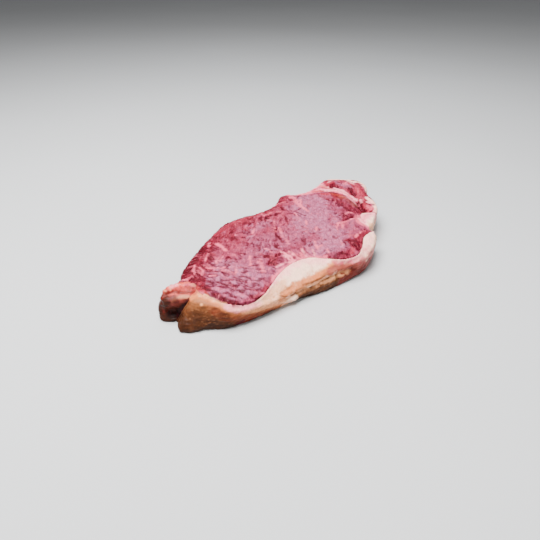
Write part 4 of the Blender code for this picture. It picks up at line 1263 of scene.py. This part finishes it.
    def right_band(self) -> Paint:
        """The band round to the notch, pale pink on top."""
        return strokes(
            (Tone.PALE_PINK, (2.6, 2, 0.4, 0.8),
             ((0, -55, 15.5), (14, -56, 16.5), (28, -53, 16.5), (41, -48, 17))),
            (Tone.BLUSH, (0.4, 1.8, 0.4, 0.8), ((12.4, -54.8, 15.4), (15, -55.4, 15.6))),
            (Tone.BLUSH, (0.8, 2.2, 0.6, 0.8), ((-10, -46.5, 15), (-5, -50.5, 14.6), (1, -55, 13.4),
             (8, -59, 11.5), (20, -59, 11), (34, -55, 11), (43, -49, 11))),
            (Tone.SALMON, (1.6, 3.4, 0.6, 1.2), ((8, -60, 6), (22, -60, 5), (34, -56, 4), (42, -50, 4))),
            (Tone.UMBER, (0.6, 2.4, 0.4, 0.8), ((6.4, -58.4, 5), (9, -59.6, 5.6))),
            (Tone.FLESH, (0.8, 2.2, 0.55, 0.8), ((5, -58.4, 11.4), (12, -59.6, 11.6), (19, -59.6, 11.6))),
        )


@dataclass
class TailFlap(Piece):
    """The folded tail: knobbly pink fat over a smooth membrane that darkens downwards, with a hollow below;
    the dark there is partly painted shade.
    """

    node: str = "tail_flap"
    finish: Finish = Finish("tail_fold", gloss=0.08, roughness=0.46, film=0.04)
    base: Tone = Tone.SHRIMP
    voxel: float = 0.4
    rounds: int = 45

    def __post_init__(self) -> None:
        """Lay out the tail's tones and its knobs."""
        knobs = ((-97.4, 17.4), (-94.6, 16.2), (-92.4, 15.2), (-89, 14.2), (-85.6, 12), (-84.2, 8))
        self.strokes = strokes(
            (Tone.SALMON, (1.2, 2.2, 0.58, 0.9), ((-92, 11.6), (-88.8, 8), (-88, 3.5))),
            (Tone.SALMON, (0.6, 1.6, 0.65, 0.6), ((-86.6, 10.4), (-85.6, 6))),
            # Salmon in the valleys between the knobs: the fat's colour, partly painted shade.
            (Tone.SALMON, (0.1, 1, 0.7, 0.4), ((-95.4, 19), (-97.4, 15)), ((-93.2, 18), (-95.4, 14.2)),
             ((-90, 17), (-91.2, 15.4))),
            # Pale strokes along the ridge and on the knobs' tops: the fat's paler colour and painted
            # highlights.
            (Tone.BLUSH, (0.2, 1.2, 0.6, 0.7), ((-90.6, 15.2), (-87.5, 13.2), (-84.6, 10.5), (-84.2, 6.7))),
            (Tone.IVORY, (0, 1, 0.55, 0.4), ((-97, 18.4), (-98, 16.6)), ((-94, 17), (-95.4, 15.2)),
             ((-89.4, 14.4), (-87.2, 13)), ((-84.4, 9), (-84.2, 7))),
            # Layers darker downwards over the membrane: its own brown, partly painted shade of the rounded
            # fold.
            Layer(Tone.FLESH, ((-110, 16.2), (-80, 16.2)), 2.4, 0.85, 0.4),
            Layer(Tone.MEMBRANE,
             ((-110, 15.6), (-101.5, 15.4), (-98, 14), (-94, 14.8), (-90, 15.6), (-80, 15.6)),
             5, 0.95, 0.6),
            (Tone.FLESH, (0.6, 3.2, 0.35, 0.6),
             ((-101.6, 12, 10.5), (-99.4, 9.6, 10.5), (-97.6, 7.6, 11.5))),
            Layer(Tone.BROWN, ((-110, 11), (-80, 11)), 6, 0.4, 0.8),
            # The hollow under the fold: painted shade.
            (Tone.HOLLOW, (1.3, 3.8, 0.9, 0.6),
             ((-93.8, 2.6, 11.6), (-95.6, 4.8, 8.4), (-97.6, 8, 5.4), (-100.6, 12.4, 3.8))),
            (Tone.HOLLOW, (1.8, 2.4, 0.8, 0.6), ((-94.6, 3.4, 9), (-97.4, 7.4, 4.6))),
            # A painted highlight on the rounded membrane.
            (Tone.IVORY, (0.1, 2, 0.42, 0.6),
             ((-99.4, 10.6, 14.2), (-97.6, 9.4, 15.4), (-94.4, 7.2, 15.6), (-92.6, 5, 15.6))),
            (Tone.FLESH, (0.4, 1.4, 0.5, 0.4), ((-89.8, 7, 16.6), (-88.6, 5.8, 16.6))),
            # Umber at the fold's left edge: painted shade over the membrane's brown.
            (Tone.UMBER, (1.7, 2.4, 0.9, 0.5),
             ((-100.4, 15.6, 15.8), (-102.2, 14.8, 14.5), (-102.6, 13.1, 13.3), (-102.8, 16.4, 12))),
            (Tone.MEMBRANE, (1.1, 2.4, 0.85, 0.6),
             ((-100.4, 12.4, 15.2), (-98.6, 11.2, 15.6), (-98.5, 9, 14.6))),
            (Tone.UMBER, (0.8, 1.8, 0.6, 0.4), ((-102.4, 12.8, 14.4), (-101.8, 14.2, 15.2))),
            (Tone.SALMON, (1.2, 2, 0.95, 0.5), ((-88.4, 5, 16.6), (-86.6, 2.8, 16.6))),
            # A painted highlight on the knobs' tops, over their pale pink.
            (Tone.PALE_PINK, (0.4, 1.6, 0.6, 0.6), ((-93.6, 16, 17.6), (-90.6, 15, 17.8))),
            # Umber low down and at the left: painted shade over the membrane's brown.
            Layer(Tone.UMBER, ((-110, 8), (-103, 5.6), (-98, 1.4), (-80, 0)), 3.2, 0.55, 0.6),
            (Tone.UMBER, (0.8, 1.6, 0.6, 0.5), ((-103.4, 14.5, 1.2), (-101, 10.2, 0.8), (-99.4, 7.5, 1.2))),
            (Tone.UMBER, (1.4, 3.4, 0.6, 0.6), ((-104, 19, 3), (-103.2, 16.4, 7.5), (-102.8, 17.2, 10.5))),
            # A dark line in the groove under the knobs: painted shade.
            (Tone.RUST, (0.35, 1, 0.85, 0.3),
             ((-101.5, 16.4), (-97.5, 15.3), (-94.6, 12.4), (-91.8, 8.5), (-89.2, 5.9), (-87, 3))),
            (Tone.ORANGE, (0.6, 1.2, 0.8, 0.3), ((-94.5, 2.6, 13), (-93.2, 1.8, 16.5))),
            (Tone.FLESH, (4, 3.5, 0.85, 1.5), ((-96, 23.5, 9), (-88, 22.5, 9))),
            (Tone.BLUSH, (2.5, 4, 0.6, 1.5), ((-94, 24, 13), (-86, 22.5, 12))),
        )
        self.swells = [
            *(Swell(((x, y, 17.6), (x + 1.0, y + 0.8, 17.6)), 0.8, 2.0, 0.8, 0.9) for x, y in knobs),
            Swell(((-100.5, 15.8, 16.5), (-94.6, 12.2, 17), (-89.2, 5.7, 16.5)), 0.4, 1.2, -0.5),
        ]


@dataclass
class SeamFat(Piece):
    """The fat between the two muscles, with a browner strip along its inner side."""

    node: str = "seam_fat"
    finish: Finish = Finish("fat_seam", roughness=0.36, glow=0.2)
    base: Tone = Tone.BLUSH
    voxel: float = 0.5

    def __post_init__(self) -> None:
        """Lay out the strip's tones and its ridge."""
        self.strokes = strokes(
            (Tone.PALE_PINK, (1.2, 2.2, 0.8, 1), ((60, 30), (66, 24), (76, 21), (90, 20))),
            (Tone.SALMON, (0.4, 1.4, 0.7, 0.6), ((75, 16.5), (78.7, 13.3), (80.8, 9.3), (82.6, 5.1))),
            (Tone.PEACH, (1, 2, 0.5, 1), ((86, 17), (88, 10))),
            (Tone.PALE_PINK, (0.4, 1.4, 0.8, 0.6),
             ((79.9, 15.6), (83, 9.1), (86.4, 4), (86.2, -2.9), (80.6, -9.9))),
            (Tone.CORAL, (0.1, 1, 0.6, 0.5), ((66, 27), (76, 18.6), (84.4, 13.6), (87.6, 4), (85.6, -6))),
        )
        self.swells = [
            Swell(((75, 17), (80, 11), (83, 3)), 0.5, 1.6, -0.6),
            Swell(((64, 24), (76, 19.5), (85, 14), (87, 4), (84, -8)), 0.5, 1.6, 0.35),
        ]


@dataclass
class EndMuscle(Piece):
    """The narrow crumpled muscle at the far end, with a pale outer skin."""

    node: str = "end_muscle"
    finish: Finish = Finish("lean_end", gloss=0.06, roughness=0.44, film=0.04)
    base: Tone = Tone.ROSE
    voxel: float = 0.5
    fringe: Tone | None = Tone.BLUSH
    creased: float = 0.4

    def __post_init__(self) -> None:
        """Lay out the tones, the pale skin and the folds."""
        folds = (((90.8, 10), (95.2, 9.2), (93, 5.9)), ((94.5, -4.4), (92.1, -7.6), (88.2, -11.9)),
                 ((77, -20.8), (72, -25.3), (67.2, -30.4)), ((64.5, -37), (70, -34), (73, -34)))
        bands = (((68.8, -36.1), (70.3, -31.7), (74.1, -28)), ((85.5, -18.6), (79.1, -23.7), (74, -27.1)),
                 ((99.6, -9.8), (93.4, -14.8), (87.5, -18.6)), ((96.5, 16.3), (96.8, 12.2), (93, 13.3)),
                 ((105, 2), (102, -6), (96, -11)))
        skin = (((103, 19), (109.6, 11.6), (112.6, 4.8)),
                ((110, 3), (112.5, -6.2), (104.2, -14.8), (98, -18)),
                ((86.2, -24.1), (84.1, -27.6), (81.8, -31.5), (75.4, -36.8), (69.1, -39.2)))
        self.strokes = strokes(
            # Lilac with a painted sheen.
            (Tone.LILAC, (2, 3.2, 0.8, 1.6), ((99, 12), (100, 3.8), (96.5, -2))),
            (Tone.CRIMSON, (0.6, 1.8, 0.8, 0.8), ((91.7, -4.2), (88, -10.1), (81.5, -17.2), (73, -27)),
             ((100.9, -9.6), (93.6, -17), (82.1, -25.3))),
            (Tone.CORAL, (1.6, 2.4, 0.95, 1), *bands),
            (Tone.PALE_PINK, (1.1, 2.2, 0.85, 1), *skin),
            (Tone.CREAM, (0.6, 1.9, 0.75, 0.8), *skin),
            (Tone.PALE_PINK, (0.5, 1.3, 0.8, 0.5),
             ((86, 17.8), (89, 12.6), (90, 6.4), (88.6, -1), (85.4, -7.8), (83, -13), (80.3, -17.8))),
            (Tone.PALE_PINK, (0.8, 1.4, 0.8, 0.6), ((80.3, -29.3), (81, -26.6))),
            # A painted highlight along the crumpled ridges.
            (Tone.BLUSH, (0.1, 1.2, 0.4, 0.9),
             ((104.6, -1.8), (94.9, -11.5), (85.1, -19.2), (79.9, -24.5))),
            # Deep red in the sunk folds: the meat's red and painted shade.
            (Tone.DEEP_RED, (1.1, 1.5, 0.95, 0.6), *folds[:2]),
            (Tone.CRIMSON, (1, 2, 0.85, 0.8), ((72, -22), (66, -28), (62, -31))),
            (Tone.DEEP_RED, (1.5, 1.6, 1, 0.8), folds[2]),
            (Tone.CRIMSON, (0.4, 1.6, 0.7, 0.8), folds[3], ((101, 8), (106, 0), (104, -8)),
             ((90, 14), (97, 7))),
            (Tone.DEEP_RED, (0.4, 0.8, 0.9, 0.3), ((78.1, -33.2), (78.6, -32.6))),
            (Tone.BLUSH, (0.9, 2, 0.7, 0.8), ((75, -30.6), (72, -33.4))),
            (Tone.PALE_PINK, (1, 2.2, 0.8, 0.8), ((105.4, 0.8), (104.2, -3))),
            (Tone.MAUVE, (0.7, 1.6, 0.7, 0.5), ((78, -31.6), (78.8, -32.4))),
            (Tone.CORAL, (0.4, 1.4, 0.7, 0.5), ((73, -27), (71.6, -28.2))),
            (Tone.ROSE, (0.7, 1.8, 0.85, 0.8), ((102.4, -11.6), (97, -16.4))),
            (Tone.BLUSH, (0.6, 2, 0.6, 0.8), ((102, 4), (99.6, 1))),
            (Tone.ROSE, (0.6, 1.8, 0.6, 0.8), ((88.6, -16.4), (83.6, -21))),
            (Tone.PALE_PINK, (0.3, 1.2, 0.7, 0.4), ((81, -20.6), (78, -23.4)), ((97, 14.5), (95, 15))),
        )
        self.swells = [Swell(path, 0.6, 1.8, -1.0) for path in folds]
        self.swells += [Swell(path, 1.0, 2.2, 0.6) for path in bands]


@dataclass
class EndFat(Piece):
    """The cream patch of fat at the notch."""

    node: str = "end_fat"
    finish: Finish = Finish("fat_notch", roughness=0.38, glow=0.2)
    base: Tone = Tone.CREAM
    voxel: float = 0.5

    def __post_init__(self) -> None:
        """Lay out the patch's tones."""
        self.strokes = strokes(
            (Tone.PALE_PINK, (3, 3, 0.9, 1.2), ((44, -38), (52, -36), (60, -36), (66, -39))),
            (Tone.BLUSH, (0.8, 2.4, 0.6, 1), ((44, -39), (50, -37.5), (56, -36.5))),
            (Tone.BLUSH, (0.5, 2, 0.7, 0.6), ((58.6, -35.6), (61.6, -36.8))),
            (Tone.IVORY, (1.2, 3, 0.8, 1.2), ((42, -46, 15), (47, -45, 15), (55, -45, 12), (63, -43, 10))),
            (Tone.TAN, (2, 3, 0.7, 1.2), ((42, -49, 9), (50, -49, 8), (60, -46, 6))),
        )


@dataclass(frozen=True)
class Light:
    """A soft square light that faces the steak: its place and side in millimetres, its power in watts."""

    name: str
    place: tuple[float, ...]
    side: float
    power: float
    colour: tuple[float, ...]

    def build(self) -> None:
        """Make the light."""
        data = bpy.data.lights.new(self.name, "AREA")
        data.size = self.side * MM
        data.energy = self.power
        data.color = self.colour
        light = bpy.data.objects.new(self.name, data)
        bpy.context.scene.collection.objects.link(light)
        light.location = Vector(self.place) * MM
        light.rotation_euler = (-light.location).to_track_quat("-Z", "Y").to_euler()


@dataclass(frozen=True)
class Studio:
    """The pale floor, the soft lights and the camera."""

    camera_foot: tuple[float, float] = (-286.3, -179.9)
    camera_height: float = 194.9
    look_along: tuple[float, float] = (0.834, 0.552)
    look_down: float = 31.515
    lens: float = 37.02
    nearest: float = 0.01
    floor_size: float = 12.0
    floor_cloud: float = 3.0
    floor_shades: Span = (0.46, 0.48)
    floor_roughness: float = 0.8
    sky: tuple[float, ...] = (0.95, 0.97, 1.0, 1.0)
    sky_strength: float = 0.22
    lights: tuple[Light, ...] = (
        Light("overhead", (-150.0, 100.0, 640.0), 460.0, 20.0, (0.98, 0.99, 1.0)),
        Light("far", (430.0, 285.0, 560.0), 300.0, 1.6, (0.86, 0.92, 1.0)),
        Light("near", (-420.0, -420.0, 380.0), 380.0, 1.5, (1.0, 0.98, 0.95)),
    )

    def build(self) -> None:
        """Make the floor, the camera, the lights and the sky."""
        self.make_floor()
        self.make_camera()
        for light in self.lights:
            light.build()
        world = bpy.data.worlds.new("soft_room")
        world.use_nodes = True
        background = world.node_tree.nodes["Background"]
        background.inputs["Color"].default_value = self.sky
        background.inputs["Strength"].default_value = self.sky_strength
        bpy.context.scene.world = world

    def make_floor(self) -> None:
        """A wide pale floor under the steak."""
        bpy.ops.object.select_all(action="DESELECT")
        bpy.ops.mesh.primitive_plane_add(size=self.floor_size)
        floor = bpy.context.object
        floor.name = "floor"
        material = bpy.data.materials.new("floor")
        material.use_nodes = True
        chain = NodeChain(material.node_tree)
        shader = material.node_tree.nodes["Principled BSDF"]
        position = chain.node("ShaderNodeTexCoord").outputs["Object"]
        cloud = chain.node("ShaderNodeTexNoise", {"Vector": position, "Scale": self.floor_cloud}).outputs[0]
        shade = chain.grey(chain.remap(cloud, *NOISE_SPAN, *self.floor_shades))
        chain.feed(shader.inputs["Base Color"], shade)
        chain.feed(shader.inputs["Roughness"], self.floor_roughness)
        floor.data.materials.append(material)
        floor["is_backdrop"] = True

    def make_camera(self) -> None:
        """The camera, where the photograph was taken from."""
        data = bpy.data.cameras.new("camera")
        data.lens = self.lens
        data.clip_start = self.nearest
        camera = bpy.data.objects.new("camera", data)
        bpy.context.scene.collection.objects.link(camera)
        foot = np.array([*self.camera_foot, self.camera_height]) - DRAWN_FROM
        camera.location = Vector(foot * MM)
        down = math.radians(self.look_down)
        look = Vector((*(share * math.cos(down) for share in self.look_along), -math.sin(down)))
        camera.rotation_euler = look.to_track_quat("-Z", "Y").to_euler()
        bpy.context.scene.camera = camera


CAD_BOX = [list(corner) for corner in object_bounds()]


def main() -> None:
    """Build the steak and its surroundings."""
    logging.basicConfig(level=logging.INFO, format="%(message)s")
    Studio().build()
    for piece in (EyeMuscle(), FatCap(), TailFlap(), SeamFat(), EndMuscle(), EndFat()):
        piece.build()


if __name__ == "__main__":
    main()
